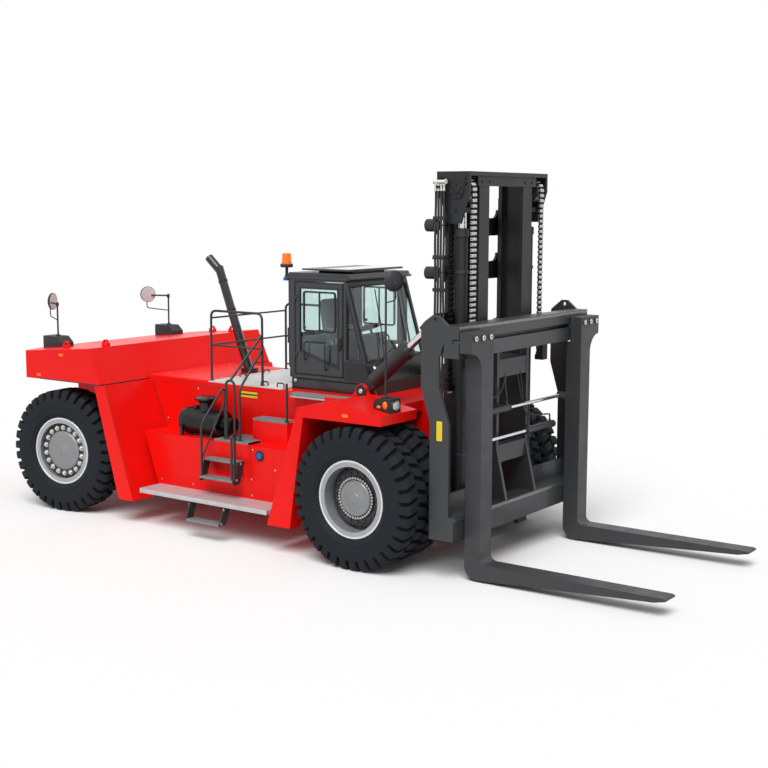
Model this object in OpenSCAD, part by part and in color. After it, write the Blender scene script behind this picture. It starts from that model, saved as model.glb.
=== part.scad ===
/* [Overall] */
// Distance from the steer axle to the drive axle
wheelbase = 6200; // [5600:10:6800]
// Rearmost point of the counterweight behind the steer axle
rear_reach = 1250; // [1000:10:1500]
// Fork tip ahead of the steer axle, from the drive axle
tip_dx = 4540; // [3800:10:5300]
// Deck height
deck_z = 2280; // [2100:10:2450]
// Half width over the counterweight
body_hw = 2100; // [1900:10:2250]
// Thickness of heavy plate
plate_t = 40; // [25:1:60]
// Thickness of light plate
sheet_t = 20; // [8:1:30]
// Clearance of running fits
run_fit = 0.1; // [0.05:0.01:0.3]
// Clearance of sliding rods in their glands
rod_fit = 0.5; // [0.2:0.1:1]
// Gap between moving bodies
gap = 12; // [6:1:30]
// Overrun of cuts past a face
over = 5; // [1:1:20]

/* [Tyres and wheels] */
// Tyre radius to the lug tips
tyre_r = 1030; // [900:5:1100]
// Tyre section width
tyre_w = 550; // [480:5:620]
// Radius of the rim flange
rim_r = 565; // [500:5:640]
// Radius of the rim base under the bead
bead_r = 500; // [440:5:560]
// Wall of the rim base
rim_t = 30; // [15:1:45]
// Width over the rim flanges
rim_w = 430; // [360:5:480]
// Thickness of a rim flange
flange_t = 22; // [10:1:35]
// Half width over the front tyres
front_hw = 2200; // [2000:10:2400]
// Spacing of twin tyres
twin_pitch = 620; // [580:5:700]
// Radius of the front hub drum
hub_r = 320; // [250:5:400]
// Radius of the planetary cover
cover_r = 240; // [180:5:300]
// How deep the planetary cover lies in the rim
cover_in = 110; // [50:5:250]
// Radius of the front spindle
front_spindle_r = 180; // [120:5:220]
// Lateral place of the steered tyres
rear_tyre_y = 1860; // [1700:10:2000]
// Kingpin inboard of the steered tyre
kingpin_off = 150; // [100:5:250]
// Parked steering angle
steer_rest = 8; // [-20:1:20]
// Radius of the rear spindle
rear_spindle_r = 110; // [80:5:150]
// Radius of the rear hub
rear_hub_r = 200; // [150:5:260]
// Kingpin radius
kingpin_r = 60; // [40:1:90]
// Tread cut: depth of the shoulder chamfer
shoulder = 60; // [20:5:120]
// Tread bars in each of the two rows of a tyre
bar_n = 16; // [12:1:30]
// Depth of the grooves between the bars
bar_h = 62; // [20:1:90]
// Turn of a bar between the shoulder and the middle of the tread, degrees
bar_lean = 5; // [0:1:8]

/* [Axles] */
// Radius of the drive axle tube
axle_r = 260; // [200:5:300]
// Half width of the drive axle case
axle_case_hw = 430; // [300:10:540]
// Half size of the drive axle case
axle_case_r = 310; // [250:5:330]
// Half depth of the steer axle beam
steer_beam_hx = 160; // [120:5:220]
// Half height of the steer axle beam
steer_beam_hz = 200; // [150:5:260]
// Half size of the knuckle block
knuckle_h = 105; // [80:5:140]
// Half height of the knuckle block
knuckle_hz = 170; // [120:5:220]
// Thickness of a yoke arm
yoke_t = 75; // [50:5:110]

/* [Chassis] */
// Half width of the frame between the steered wheels
rear_frame_hw = 560; // [400:10:640]
// Half width of the frame between the driven wheels
front_frame_hw = 560; // [400:10:700]
// Lowest face of the frame
frame_z = 700; // [500:10:900]
// Half width of the tanks
tank_hw = 1570; // [1400:10:1700]
// Bottom of the tanks
tank_z0 = 600; // [450:10:800]
// Top of the tanks
tank_z1 = 1460; // [1200:10:1700]
// Half width of the upper hull
hull_hw = 1000; // [800:10:1200]
// Front end of the tanks, from the drive axle
tank_dx1 = -1610; // [-2000:10:-1400]
// Rear foot of the tanks
tank_x0 = 1810; // [1600:10:2000]
// Rear end of the tank top
hull_x0 = 1520; // [1300:10:1700]
// Rear end of the deck
deck_x0 = 1120; // [1000:10:1400]
// Front end of the upper hull, from the drive axle
hull_dx1 = -1200; // [-1500:10:-1000]
// Front end of the front deck, from the drive axle
front_deck_dx = 150; // [-200:10:300]
// Half width of the front deck
front_deck_hw = 1200; // [1000:10:1300]
// Thickness of the front deck
front_deck_t = 160; // [80:5:200]
// Front end of the frame, from the drive axle
frame_dx1 = 360; // [100:10:500]
// Half length of the axle pockets in the frame
pocket_hx = 330; // [250:5:400]
// Roof of the axle pockets
pocket_z = 1380; // [1200:10:1500]
// Rear end of the frame
frame_x0 = -850; // [-1100:10:-600]

/* [Counterweight] */
// Underside of the counterweight
cw_z0 = 2220; // [2100:10:2400]
// Top of the counterweight
cw_z1 = 2810; // [2600:10:3000]
// Fall of the counterweight's top towards the rear
cw_fall = 160; // [0:10:250]
// Front foot of the counterweight
cw_x1 = 1065; // [900:10:1200]
// Front top edge of the counterweight
cw_x2 = 800; // [600:10:1000]
// Start of the rear corner on the side
cw_corner_x = -760; // [-1000:10:-500]
// Rear corner inward of the side
cw_corner_y = 600; // [300:10:900]
// Depth of the rear corner
cw_corner_d = 350; // [200:10:500]
// Half width of the flat rear face
cw_rear_hw = 800; // [500:10:1200]
// Chamfer of the top rear edge
cw_chamfer = 110; // [50:5:200]
// Lower rear block underside
cw_low_z = 900; // [700:10:1200]
// Half width of the lower rear block
cw_low_hw = 540; // [400:10:600]
// Radius of the tow pin
tow_r = 40; // [25:1:60]
// Depth of the tow jaw
tow_jaw = 160; // [100:5:220]
// Height of the tow jaw
tow_z = 1150; // [950:10:1400]

/* [Arches] */
// Side face of the arches
arch_hw = 2080; // [1900:10:2200]
// Rear top edge of the rear arch wall
arch_top_x0 = 890; // [800:10:1000]
// Front top edge of the rear arch wall
arch_top_x1 = 1140; // [1000:10:1300]
// Rear foot of the rear arch wall
arch_foot_x0 = 1410; // [1300:10:1500]
// Front foot of the rear arch wall
arch_foot_x1 = 1740; // [1600:10:1900]
// Foot height of the rear arch wall
arch_foot_z = 390; // [300:10:600]
// Foot of the front fender leg, front edge, from the drive axle
leg_dx1 = -1170; // [-1300:10:-1100]
// Foot height of the front fender leg
leg_z = 420; // [300:10:600]
// Rear top corner of the fender, from the drive axle
fender_dx0 = -1010; // [-1200:10:-900]
// Inner corner of the fender, from the drive axle
fender_dxi = -910; // [-1000:10:-800]
// Front corner of the fender, from the drive axle
fender_dx1 = 480; // [200:10:700]
// Top of the fender side strip
fender_z1 = 2250; // [2150:10:2350]
// Underside of the fender
fender_z0 = 2110; // [2080:5:2200]
// Ridge of the fender top
fender_ridge_z = 2400; // [2300:10:2500]
// Place of the ridge along the fender, from the drive axle
fender_ridge_dx = -300; // [-600:10:0]

/* [Deck, steps and rails] */
// Thickness of the deck plates
deck_t = 24; // [10:1:40]
// Half width of the engine hatch
hatch_hw = 520; // [300:10:700]
// Rear edge of the engine hatch
hatch_x0 = 2450; // [2000:10:2800]
// Front edge of the engine hatch
hatch_x1 = 3650; // [3200:10:3800]
// Height of the running board top
board_z = 620; // [500:10:700]
// Width of the running board
board_w = 480; // [300:10:560]
// Rear end of the running board
board_x0 = 1880; // [1700:10:2000]
// Front end of the running board, from the drive axle
board_dx1 = -1640; // [-2000:10:-1600]
// Thickness of the running board
board_t = 60; // [30:5:90]
// Length of the drop step and the treads above it
drop_l = 720; // [500:10:900]
// Where the drop step and treads stand between the arch foot and the fender leg, as a share
drop_share = 0.563; // [0.3:0.01:0.6]
// Height of the drop step tread
drop_z = 300; // [200:10:400]
// Tread depth
tread_d = 270; // [180:10:350]
// Height of the first ladder tread
tread1_z = 930; // [800:10:1050]
// Height of the second ladder tread
tread2_z = 1200; // [1100:10:1350]
// Height of the third platform
plat_z = 1830; // [1600:10:2000]
// Length of the platforms
plat_l = 700; // [500:10:900]
// Gap between the platform and the fender leg
plat_back = 290; // [200:10:500]
// Rail tube radius
rail_r = 20; // [14:1:30]
// Height of the handrails over the deck
rail_h = 1160; // [900:10:1300]
// Rear handrail post
rail_x0 = 2450; // [2200:10:2700]
// Front handrail post
rail_x1 = 3540; // [3300:10:3800]
// Inset of the rails from the hull edge
rail_in = 60; // [30:5:120]
// Width of the ladder cheeks and treads
cheek_w = 150; // [100:5:200]
// How far the drop step stands out beyond the running board
drop_out = 110; // [50:5:140]
// Width of the platform step
plat_w = 250; // [200:10:500]
// Width of the hand loops
loop_w = 170; // [120:5:220]
// Height at which the ladder loop leans in
loop_z0 = 1750; // [1500:10:1900]
// Top of the ladder loop
loop_z1 = 2250; // [2000:10:2400]
// Height at which the small ladder loop closes
loop_z2 = 1550; // [1400:10:1800]
// Cut of the rail corners
rail_bend = 120; // [60:5:200]

/* [Cab] */
// Rear wall of the cab
cab_x0 = 3990; // [3800:10:4100]
// Front end of the roof
cab_x1 = 5090; // [4900:10:5300]
// Front foot of the windscreen
cab_x2 = 5560; // [5400:10:5700]
// Half width of the cab
cab_hw = 800; // [700:10:900]
// Floor of the cab
cab_z0 = 2470; // [2400:10:2600]
// Top of the walls
cab_z1 = 4020; // [3800:10:4200]
// Top of the roof
cab_z2 = 4110; // [3900:10:4300]
// Thickness of the walls
wall_t = 50; // [30:5:80]
// Sill height of the windows over the floor
sill = 330; // [200:10:600]
// Width of the window posts
post_w = 90; // [60:5:140]
// Rear edge of the door
door_x0 = 4100; // [4000:10:4200]
// Front edge of the door
door_x1 = 5040; // [4900:10:5100]
// Hinge line of the doors outside the cab wall
hinge_out = 14; // [8:1:30]
// Radius of the door hinge barrels
hinge_r = 11; // [6:1:20]
// Heights of the door hinges
hinge_z = [2800, 3700]; // [2600:10:3900]
// Height of a hinge leaf
hinge_h = 60; // [40:5:100]
// Glass thickness
glass_t = 8; // [5:1:12]
// Seat width
seat_w = 520; // [420:10:600]
// Seat place along the cab
seat_x = 4480; // [4300:10:4700]
// Dash ahead of the seat
seat_reach = 560; // [450:10:600]
// Fall of the door window's lower edge towards the front
door_fall = 230; // [100:10:260]
// Width of the seat pedestal
ped_w = 312; // [250:5:400]
// Height of the seat pedestal
ped_h = 364; // [300:5:420]
// Thickness of the seat cushion
cushion_t = 130; // [90:5:160]
// Thickness of the seat back
back_t = 130; // [90:5:160]
// Height of the seat back
back_h = 650; // [500:10:750]
// Lean of the seat back at its head
back_lean = 110; // [60:5:130]
// Height of the dash
dash_h = 520; // [400:10:600]
// Length of the steering column
column_l = 200; // [120:10:240]
// Radius of the steering wheel
wheel_r = 182; // [150:1:220]
// Lean of the steering wheel, degrees
wheel_lean = 20; // [10:1:35]
// Radius of the warning lamp
beacon_r = 75; // [50:1:90]
// Height of the warning lamp's lens
beacon_h = 160; // [100:5:200]

/* [Mast] */
// Tilt pivot of the mast ahead of the drive axle
pivot_dx = 450; // [300:10:550]
// Tilt pivot height
pivot_z = 800; // [650:10:950]
// Radius of the tilt pivot pins
pivot_r = 80; // [50:5:110]
// Radius of the pivot ears
ear_r = 160; // [120:5:200]
// Rear face of the outer uprights, from the drive axle
outer_dx0 = 690; // [650:5:750]
// Front face of the outer uprights, from the drive axle
outer_dx1 = 1110; // [1050:5:1150]
// Outer face of the outer uprights
outer_hw = 815; // [750:5:830]
// Inner edge of the outer flanges
outer_in = 630; // [600:5:680]
// Flange thickness of the mast channels
mast_t = 60; // [40:5:80]
// Lower end of the uprights
mast_z0 = 350; // [250:10:450]
// Upper end of the outer uprights
outer_z1 = 5250; // [5000:10:5400]
// Rear face of the inner uprights, from the drive axle
inner_dx0 = 790; // [760:5:820]
// Front face of the inner uprights, from the drive axle
inner_dx1 = 1210; // [1180:5:1230]
// Outer face of the inner web
inner_hw = 600; // [560:5:615]
// Inner edge of the inner flanges
inner_in = 475; // [450:5:500]
// Outer edge of the inner flanges
inner_out = 740; // [700:5:760]
// Top of the mast
mast_z1 = 5620; // [5400:10:5800]
// Half width of the crown
crown_hw = 1100; // [1000:10:1150]
// Rear edge of the crown, from the drive axle
crown_dx0 = 730; // [700:5:800]
// Front edge of the crown, from the drive axle
crown_dx1 = 1270; // [1200:5:1280]
// Foot of the crown cheeks
crown_z0 = 4900; // [4700:10:5000]
// Depth of the header
header_h = 200; // [150:10:300]
// Lift cylinders ahead of the drive axle
lift_dx = 1040; // [1000:5:1060]
// Lift cylinders off the middle
lift_y = 912; // [905:1:930]
// Barrel radius of the lift cylinders
lift_r = 88; // [70:1:95]
// Rod radius of the lift cylinders
lift_rod_r = 66; // [50:1:75]
// Top of the lift barrels
lift_z1 = 4830; // [4600:10:4900]
// Foot of the lift rods inside the barrels
lift_rod_z = 1900; // [1500:10:2200]
// Crosshead height
crosshead_z = 5050; // [5000:10:5080]
// Crosshead thickness
crosshead_t = 70; // [50:5:90]
// Sheave centre ahead of the drive axle
sheave_dx = 1065; // [1050:5:1080]
// Sheave centre height
sheave_z = 5350; // [5300:10:5400]
// Sheave radius
sheave_r = 165; // [140:5:180]
// Chain width
chain_w = 140; // [100:5:160]
// Chain thickness
chain_t = 40; // [25:1:50]
// Chain middle off the middle
chain_y = 950; // [930:5:960]
// First hose ahead of the drive axle
hose_dx = 760; // [650:5:800]
// Hoses off the middle
hose_y = 1172; // [1165:1:1200]
// Hose spacing
hose_pitch = 46; // [38:1:60]
// Hose radius
hose_r = 17; // [12:1:20]
// Heights of the hose brackets
hose_bracket_z = [2650, 4400]; // [2400:10:4800]
// Heights of the rear ties of the outer mast
tie_z = [4060, 4700, 2500]; // [2000:10:5000]
// Depth of the rear ties
tie_h = 260; // [150:10:350]
// Hollow radius at the ends of the mast ties
tie_r = 120; // [60:5:200]
// Pitch of the lift chains
chain_pitch = 88.9; // [50:0.1:101.6]
// Height of the rear chain anchors
anchor_z = 2600; // [2200:10:3000]
// Hoses in the bundle
hose_n = 4; // [2:1:4]
// Rise of the hoses above the outer mast
hose_rise = 200; // [0:10:250]
// Heights of the work lamps on the mast
work_z = [4200, 4870]; // [3800:10:5100]
// Work lamp radius
work_r = 90; // [60:5:110]

/* [Tilt cylinders] */
// Rear pin ahead of the drive axle
tilt_dx = -550; // [-700:10:-450]
// Rear pin height
tilt_z = 2420; // [2350:10:2500]
// Middle of the tilt cylinders
tilt_y = 1050; // [1000:10:1100]
// Mast pin ahead of the drive axle
tilt_eye_dx = 590; // [500:10:650]
// Mast pin height
tilt_eye_z = 3420; // [3200:10:3600]
// Barrel radius
tilt_r = 125; // [90:5:140]
// Rod radius
tilt_rod_r = 55; // [40:1:70]
// Pin radius
tilt_pin_r = 45; // [35:1:65]
// Eye radius
tilt_eye_r = 110; // [80:5:120]
// Half width of the eyes
tilt_eye_hw = 45; // [30:1:60]
// Start of the barrel from the rear pin
tilt_barrel_s0 = 240; // [200:5:300]
// End of the barrel from the rear pin
tilt_barrel_s1 = 1030; // [900:10:1100]
// Foot of the rod inside the barrel
tilt_rod_s0 = 640; // [560:5:700]
// Play of the front eye on its pin
tilt_play = 26; // [8:1:40]

/* [Carriage and forks] */
// Rear face of the carriage beams, from the drive axle
beam_dx0 = 1360; // [1320:5:1400]
// Front face of the lower rail of the top beam, from the drive axle
beam_dx1 = 1600; // [1550:5:1650]
// Half width of the carriage
carriage_hw = 1850; // [1700:10:1900]
// Bottom of the top beam
beam_z0 = 3110; // [3000:10:3200]
// Top of the top beam
beam_z1 = 3550; // [3450:10:3650]
// Height of the hook groove in the top beam
groove_z = 3310; // [3250:10:3380]
// Hook groove height
groove_h = 60; // [40:5:80]
// Depth of the hook groove
groove_d = 100; // [60:5:140]
// Bottom of the lower beam
low_z0 = 580; // [500:10:650]
// Top of the lower beam
low_z1 = 920; // [850:10:1000]
// Rear face of the lower beam, from the drive axle
low_dx0 = 1240; // [1220:5:1300]
// Front face of the lower beam, from the drive axle
low_dx1 = 1535; // [1500:5:1540]
// Inner face of the carriage frame plates
frame_y0 = 390; // [350:5:420]
// Outer face of the carriage frame plates
frame_y1 = 450; // [430:5:465]
// Rear edge of the carriage frame plates, from the drive axle
frame_pdx = 880; // [860:5:920]
// Top of the carriage frame plates inside the mast
frame_pz = 2950; // [2800:10:3050]
// Mast roller radius
roller_r = 145; // [120:1:148]
// Heights of the mast rollers
roller_z = [950, 2600]; // [700:10:2800]
// Thickness of the end plates
end_t = 50; // [30:5:80]
// Rear edge of the end plates above the tyre, from the drive axle
end_dx0 = 990; // [950:10:1050]
// Front edge of the end plates above the tyre, from the drive axle
end_dx1 = 1280; // [1250:10:1340]
// Rear edge of the end plates ahead of the tyre, from the drive axle
end_dx2 = 1140; // [1100:10:1200]
// Front edge of the end plates ahead of the tyre, from the drive axle
end_dx3 = 1450; // [1400:10:1500]
// Lower bend of the end plates
end_z0 = 2200; // [2000:10:2400]
// Upper bend of the end plates
end_z1 = 2700; // [2500:10:2900]
// Shoulder of the end plates
end_z2 = 3530; // [3400:10:3600]
// Peak of the end plates
end_z3 = 3680; // [3630:10:3850]
// Fork width
fork_w = 300; // [220:5:340]
// Middle of a fork off the middle
fork_y = 1430; // [1300:10:1550]
// Rear face of the shanks, from the drive axle
shank_dx0 = 1550; // [1545:5:1600]
// Front face of the shanks, from the drive axle
shank_dx1 = 1800; // [1750:5:1850]
// Top of the fork blades
blade_z1 = 260; // [200:5:320]
// Underside of the blades at the heel
blade_z0 = 20; // [10:1:60]
// End of the flat underside, from the drive axle
blade_dx1 = 2750; // [2500:10:3000]
// Underside of the blade where it tapers
blade_mid_z = 90; // [50:5:130]
// Tip thickness
tip_t = 35; // [20:1:60]
// Length of the bevelled tip
tip_bevel = 160; // [80:5:240]
// Heel radius
heel_r = 200; // [120:5:240]
// Width of the fork head
head_w = 570; // [450:10:650]
// Bottom of the fork head
head_z0 = 3190; // [3130:10:3250]
// Top of the fork head
head_z1 = 3470; // [3420:10:3540]
// Positioner cylinders ahead of the drive axle
pos_dx = 1450; // [1440:5:1480]
// Barrel radius of the positioners
pos_r = 50; // [35:1:56]
// Rod radius of the positioners
pos_rod_r = 28; // [20:1:36]
// Height of the upper positioner
pos_z1 = 2250; // [2100:10:2400]
// Height of the lower positioner
pos_z0 = 1840; // [1700:10:1950]
// Inner end of the positioner barrels
pos_in = 250; // [150:10:320]
// Outer end of the positioner barrels
pos_out = 1080; // [1000:10:1150]
// Foot of the positioner rod in its barrel
pos_rod_in = 330; // [300:5:380]
// Top of the gussets over the lower beam
gusset_z = 1700; // [1300:10:1780]
// Radius of the discs on the fork heads
disc_r = 40; // [20:1:60]

/* [Fittings] */
// Air cleaner radius
air_r = 210; // [150:5:260]
// Air cleaner rear end
air_x0 = 2250; // [2000:10:2400]
// Air cleaner length
air_l = 780; // [600:10:900]
// Air cleaner middle in from the tank side
air_in = 280; // [230:5:340]
// Exhaust pipe radius
exhaust_r = 75; // [50:5:100]
// Foot of the exhaust
exhaust_x0 = 2240; // [2100:10:2400]
// Exhaust off the middle
exhaust_y = 220; // [0:10:500]
// Head of the exhaust
exhaust_x1 = 1560; // [1400:10:1800]
// Height of the exhaust head
exhaust_z1 = 4080; // [3800:10:4300]
// Lamp box length
lamp_l = 480; // [300:10:560]
// Lamp box width
lamp_w = 260; // [180:10:320]
// Lamp box height
lamp_h = 210; // [150:10:260]
// Front lamp boxes ahead of the drive axle
front_lamp_dx = 170; // [0:10:250]
// Front lamp boxes off the middle
front_lamp_y = 1700; // [1600:10:1900]
// Rear lamp boxes along the truck
rear_lamp_x = -1040; // [-1100:10:0]
// Rear lamp boxes off the middle
rear_lamp_y = 1350; // [1200:10:1700]
// Mirror radius
mirror_r = 150; // [100:5:200]
// Height of the front mirrors
front_mirror_z = 4100; // [3800:10:4300]
// Height of the rear mirrors
rear_mirror_z = 3440; // [3300:10:3700]
// Front mirror off its post along and sideways, and its turn
front_arm = [70, -100, 24]; // [-200:1:200]
// Rear mirror off its post along and sideways, and its turn
rear_arm = [-350, -195, -22]; // [-400:1:200]
// Mirror post radius
post_r = 20; // [12:1:30]
// Lifting lug height
lug_h = 110; // [80:5:160]
// Lifting lug length
lug_l = 160; // [120:5:240]
// Lifting lug bore radius
lug_r = 30; // [20:1:45]
// Lifting lugs along and off the middle
lug_at = [[-80, 1770], [630, 1540]]; // [-650:10:1900]

/* [Hidden] */
$fn = 48;
tip_x = wheelbase + tip_dx;
tank_x1 = wheelbase + tank_dx1;
hull_x1 = wheelbase + hull_dx1;
front_deck_x = wheelbase + front_deck_dx;
frame_x1 = wheelbase + frame_dx1;
leg_x1 = wheelbase + leg_dx1;
fender_x0 = wheelbase + fender_dx0;
fender_xi = wheelbase + fender_dxi;
fender_x1 = wheelbase + fender_dx1;
fender_ridge_x = wheelbase + fender_ridge_dx;
board_x1 = wheelbase + board_dx1;
pivot_x = wheelbase + pivot_dx;
outer_x0 = wheelbase + outer_dx0;
outer_x1 = wheelbase + outer_dx1;
inner_x0 = wheelbase + inner_dx0;
inner_x1 = wheelbase + inner_dx1;
crown_x0 = wheelbase + crown_dx0;
crown_x1 = wheelbase + crown_dx1;
lift_x = wheelbase + lift_dx;
sheave_x = wheelbase + sheave_dx;
hose_x = wheelbase + hose_dx;
tilt_x = wheelbase + tilt_dx;
tilt_eye_x = wheelbase + tilt_eye_dx;
beam_x0 = wheelbase + beam_dx0;
beam_x1 = wheelbase + beam_dx1;
low_x0 = wheelbase + low_dx0;
low_x1 = wheelbase + low_dx1;
frame_px = wheelbase + frame_pdx;
end_x0 = wheelbase + end_dx0;
end_x1 = wheelbase + end_dx1;
end_x2 = wheelbase + end_dx2;
end_x3 = wheelbase + end_dx3;
shank_x0 = wheelbase + shank_dx0;
shank_x1 = wheelbase + shank_dx1;
blade_x1 = wheelbase + blade_dx1;
pos_x = wheelbase + pos_dx;
front_lamp_x = wheelbase + front_lamp_dx;
mid_x = (tip_x - rear_reach) / 2;
board_hw = tank_hw + board_w;
drop_mid = arch_foot_x1 + (tank_x1 - arch_foot_x1) * drop_share;
drop_x0 = drop_mid - drop_l / 2;
drop_x1 = drop_mid + drop_l / 2;
plat_x1 = tank_x1 - plat_back;
plat_x0 = plat_x1 - plat_l;
air_y = tank_hw - air_in;
axle_hw = front_hw - tyre_w / 2 - twin_pitch - rim_w / 2 - shoulder;
front_outer_y = front_hw - tyre_w / 2;
front_inner_y = front_outer_y - twin_pitch;
kingpin_y = rear_tyre_y - kingpin_off;
tilt_l = sqrt(pow(tilt_eye_x - tilt_x, 2) + pow(tilt_eye_z - tilt_z, 2));
tilt_a = atan2(tilt_eye_z - tilt_z, tilt_eye_x - tilt_x);
half = 1 / 2;
foot_share = 0.96;
crown_share = 0.8;
link_share = 0.6;
rail_share = 0.75;
elbow_share = 1.15;
loop_share = 0.7;
right = -1;
left = 1;

module box(x0, x1, y0, y1, z0, z1) {
    translate([x0, y0, z0]) cube([x1 - x0, y1 - y0, z1 - z0]);
}

module prism_y(pts, y0, y1) {
    translate([0, y1, 0]) rotate([90, 0, 0]) linear_extrude(y1 - y0) polygon(pts);
}

module cyl_y(x, z, r, y0, y1) {
    translate([x, y1, z]) rotate([90, 0, 0]) cylinder(h = y1 - y0, r = r);
}

module cyl_x(y, z, r, x0, x1) {
    translate([x0, y, z]) rotate([0, 90, 0]) cylinder(h = x1 - x0, r = r);
}

module cyl_z(x, y, r, z0, z1) {
    translate([x, y, z0]) cylinder(h = z1 - z0, r = r);
}

module rod(p, q, r) {
    d = q - p;
    translate(p) rotate([0, acos(d[2] / norm(d)), atan2(d[1], d[0])]) cylinder(h = norm(d), r = r);
}

// Tube through the corners of a path, with round elbows
module pipe(path, r) {
    for (k = [0 : len(path) - 2]) rod(path[k], path[k + 1], r);
    for (k = [1 : len(path) - 2]) translate(path[k]) sphere(r = r * elbow_share);
}

module prism_x(pts, x0, x1) {
    translate([x0, 0, 0]) rotate([90, 0, 90]) linear_extrude(x1 - x0) polygon(pts);
}

// Hollow of radius r along y in the corner at (x, z), opening towards sx and sz
module fillet_y(x, z, sx, sz, r, y0, y1) difference() {
    box(min(x - sx * over, x + sx * r), max(x - sx * over, x + sx * r), y0, y1,
        min(z - sz * over, z + sz * r), max(z - sz * over, z + sz * r));
    cyl_y(x + sx * r, z + sz * r, r, y0 - over, y1 + over);
}

// Hollow of radius r along x in the corner at (y, z), opening towards sy and sz
module fillet_x(y, z, sy, sz, r, x0, x1) difference() {
    box(x0, x1, min(y - sy * over, y + sy * r), max(y - sy * over, y + sy * r),
        min(z - sz * over, z + sz * r), max(z - sz * over, z + sz * r));
    cyl_x(y + sy * r, z + sz * r, r, x0 - over, x1 + over);
}

module both() {
    children();
    mirror([0, 1, 0]) children();
}

module side(s) {
    if (s == left) children();
    else mirror([0, 1, 0]) children();
}

module place() {
    translate([-mid_x, 0, 0]) children();
}

// Welded hull: frame between the wheels, tanks, upper hull and front deck in one plain body
module chassis_frame() color("red") place() {
    difference() {
        union() {
            box(frame_x0, hull_x0 + over, -rear_frame_hw, rear_frame_hw, frame_z, cw_z0);
            prism_y([[tank_x0, tank_z0], [tank_x1, tank_z0], [tank_x1, tank_z1], [hull_x0, tank_z1]],
                -tank_hw, tank_hw);
            prism_y([[hull_x0, tank_z1 - over], [hull_x1, tank_z1 - over], [hull_x1, deck_z],
                [cw_x1, deck_z], [cw_x1, cw_z0], [deck_x0, cw_z0]], -hull_hw, hull_hw);
            box(tank_x1 - over, frame_x1, -front_frame_hw, front_frame_hw, frame_z, deck_z);
            box(hull_x1 - over, front_deck_x, -front_deck_hw, front_deck_hw, deck_z - front_deck_t, deck_z);
            prism_y([[frame_x1 - over, frame_z], [pivot_x, pivot_z - ear_r], [pivot_x + ear_r, pivot_z],
                [pivot_x, pivot_z + ear_r], [frame_x1 - over, pivot_z + 2 * ear_r]],
                -front_frame_hw, front_frame_hw);
            cyl_y(pivot_x, pivot_z, pivot_r, -outer_hw + plate_t, outer_hw - plate_t);
            both() box(plat_x0, plat_x1, hull_hw - over, hull_hw + plat_w, tank_z1 - over, plat_z - sheet_t);
        }
        box(-pocket_hx, pocket_hx, -rear_frame_hw - over, rear_frame_hw + over, frame_z - over, pocket_z);
        box(wheelbase - pocket_hx, wheelbase + pocket_hx, -front_frame_hw - over, front_frame_hw + over,
            frame_z - over, pocket_z);
    }
}

function cw_top(x) = cw_z1 - cw_fall * (cw_x2 - x) / (cw_x2 + rear_reach - cw_chamfer);

// Cast counterweight with chamfered corners and a tow jaw
module counterweight() color("red") place() {
    difference() {
        union() {
            intersection() {
                translate([0, 0, cw_z0]) linear_extrude(cw_z1 - cw_z0) polygon([
                    [cw_x1, -body_hw], [cw_x1, body_hw], [cw_corner_x, body_hw],
                    [cw_corner_x - cw_corner_d, body_hw - cw_corner_y], [-rear_reach, cw_rear_hw],
                    [-rear_reach, -cw_rear_hw], [cw_corner_x - cw_corner_d, cw_corner_y - body_hw],
                    [cw_corner_x, -body_hw]]);
                prism_y([[cw_x1, cw_z0], [cw_x2, cw_z1], [cw_chamfer - rear_reach, cw_z1 - cw_fall],
                    [-rear_reach, cw_z1 - cw_fall - cw_chamfer], [-rear_reach, cw_z0]], -body_hw, body_hw);
            }
            box(-rear_reach + over, frame_x0, -cw_low_hw, cw_low_hw, cw_low_z, cw_z0 + over);
        }
        box(-rear_reach, frame_x0 - tow_jaw, -tow_jaw, tow_jaw, tow_z, tow_z + tow_jaw);
        cyl_z(-rear_reach + tow_jaw, 0, tow_r, cw_low_z - over, tow_z + 2 * tow_jaw);
    }
}

// Slanted walls ahead of the steered wheels
module rear_arches() color("red") place() both() {
    prism_y([[arch_top_x0, cw_z0], [arch_top_x1, cw_z0], [arch_foot_x1, arch_foot_z],
        [arch_foot_x0, arch_foot_z]], tank_hw, arch_hw);
    difference() {
        prism_y([[arch_top_x0, cw_z0], [arch_top_x1, cw_z0], [arch_foot_x1, arch_foot_z],
            [arch_foot_x0, arch_foot_z]], rear_frame_hw, tank_hw);
        prism_y([[tank_x0, tank_z0], [tank_x1, tank_z0], [tank_x1, tank_z1], [hull_x0, tank_z1]],
            -tank_hw, tank_hw);
        box(cw_x1, hull_x1, -hull_hw, hull_hw, tank_z1 - over, deck_z);
    }
}

// Arches over the driven wheels with their rear legs
module front_fenders() color("red") place() both()
    prism_y([[tank_x1, leg_z], [leg_x1, leg_z], [fender_xi, fender_z0], [fender_x1, fender_z0],
        [fender_x1, fender_z1], [fender_ridge_x, fender_ridge_z], [fender_x0, fender_z1]],
        front_deck_hw, arch_hw);

// Pale walkway plates beside and around the hatch
module deck_plates() color("lightgray") place() {
    walkway();
    hatch_hinge(hatch_x1 + post_w, hatch_hw * half);
}

module walkway() difference() {
    box(cw_x1, cab_x0 - over, -hull_hw, hull_hw, deck_z, deck_z + deck_t);
    box(hatch_x0 - gap, hatch_x1 + gap, -hatch_hw - gap, hatch_hw + gap, deck_z - over, deck_z + deck_t + over);
}

// Half of the hatch hinge: barrels on the hinge line, with leaves to x
module hatch_hinge(x, y) both() {
    z = deck_z + deck_t;
    cyl_y(hatch_x1 + gap * half, z + hinge_r, hinge_r, y, y + hinge_h);
    box(min(x, hatch_x1 + gap * half), max(x, hatch_x1 + gap * half), y, y + hinge_h, z - rod_fit, z + hinge_r);
}

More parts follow.
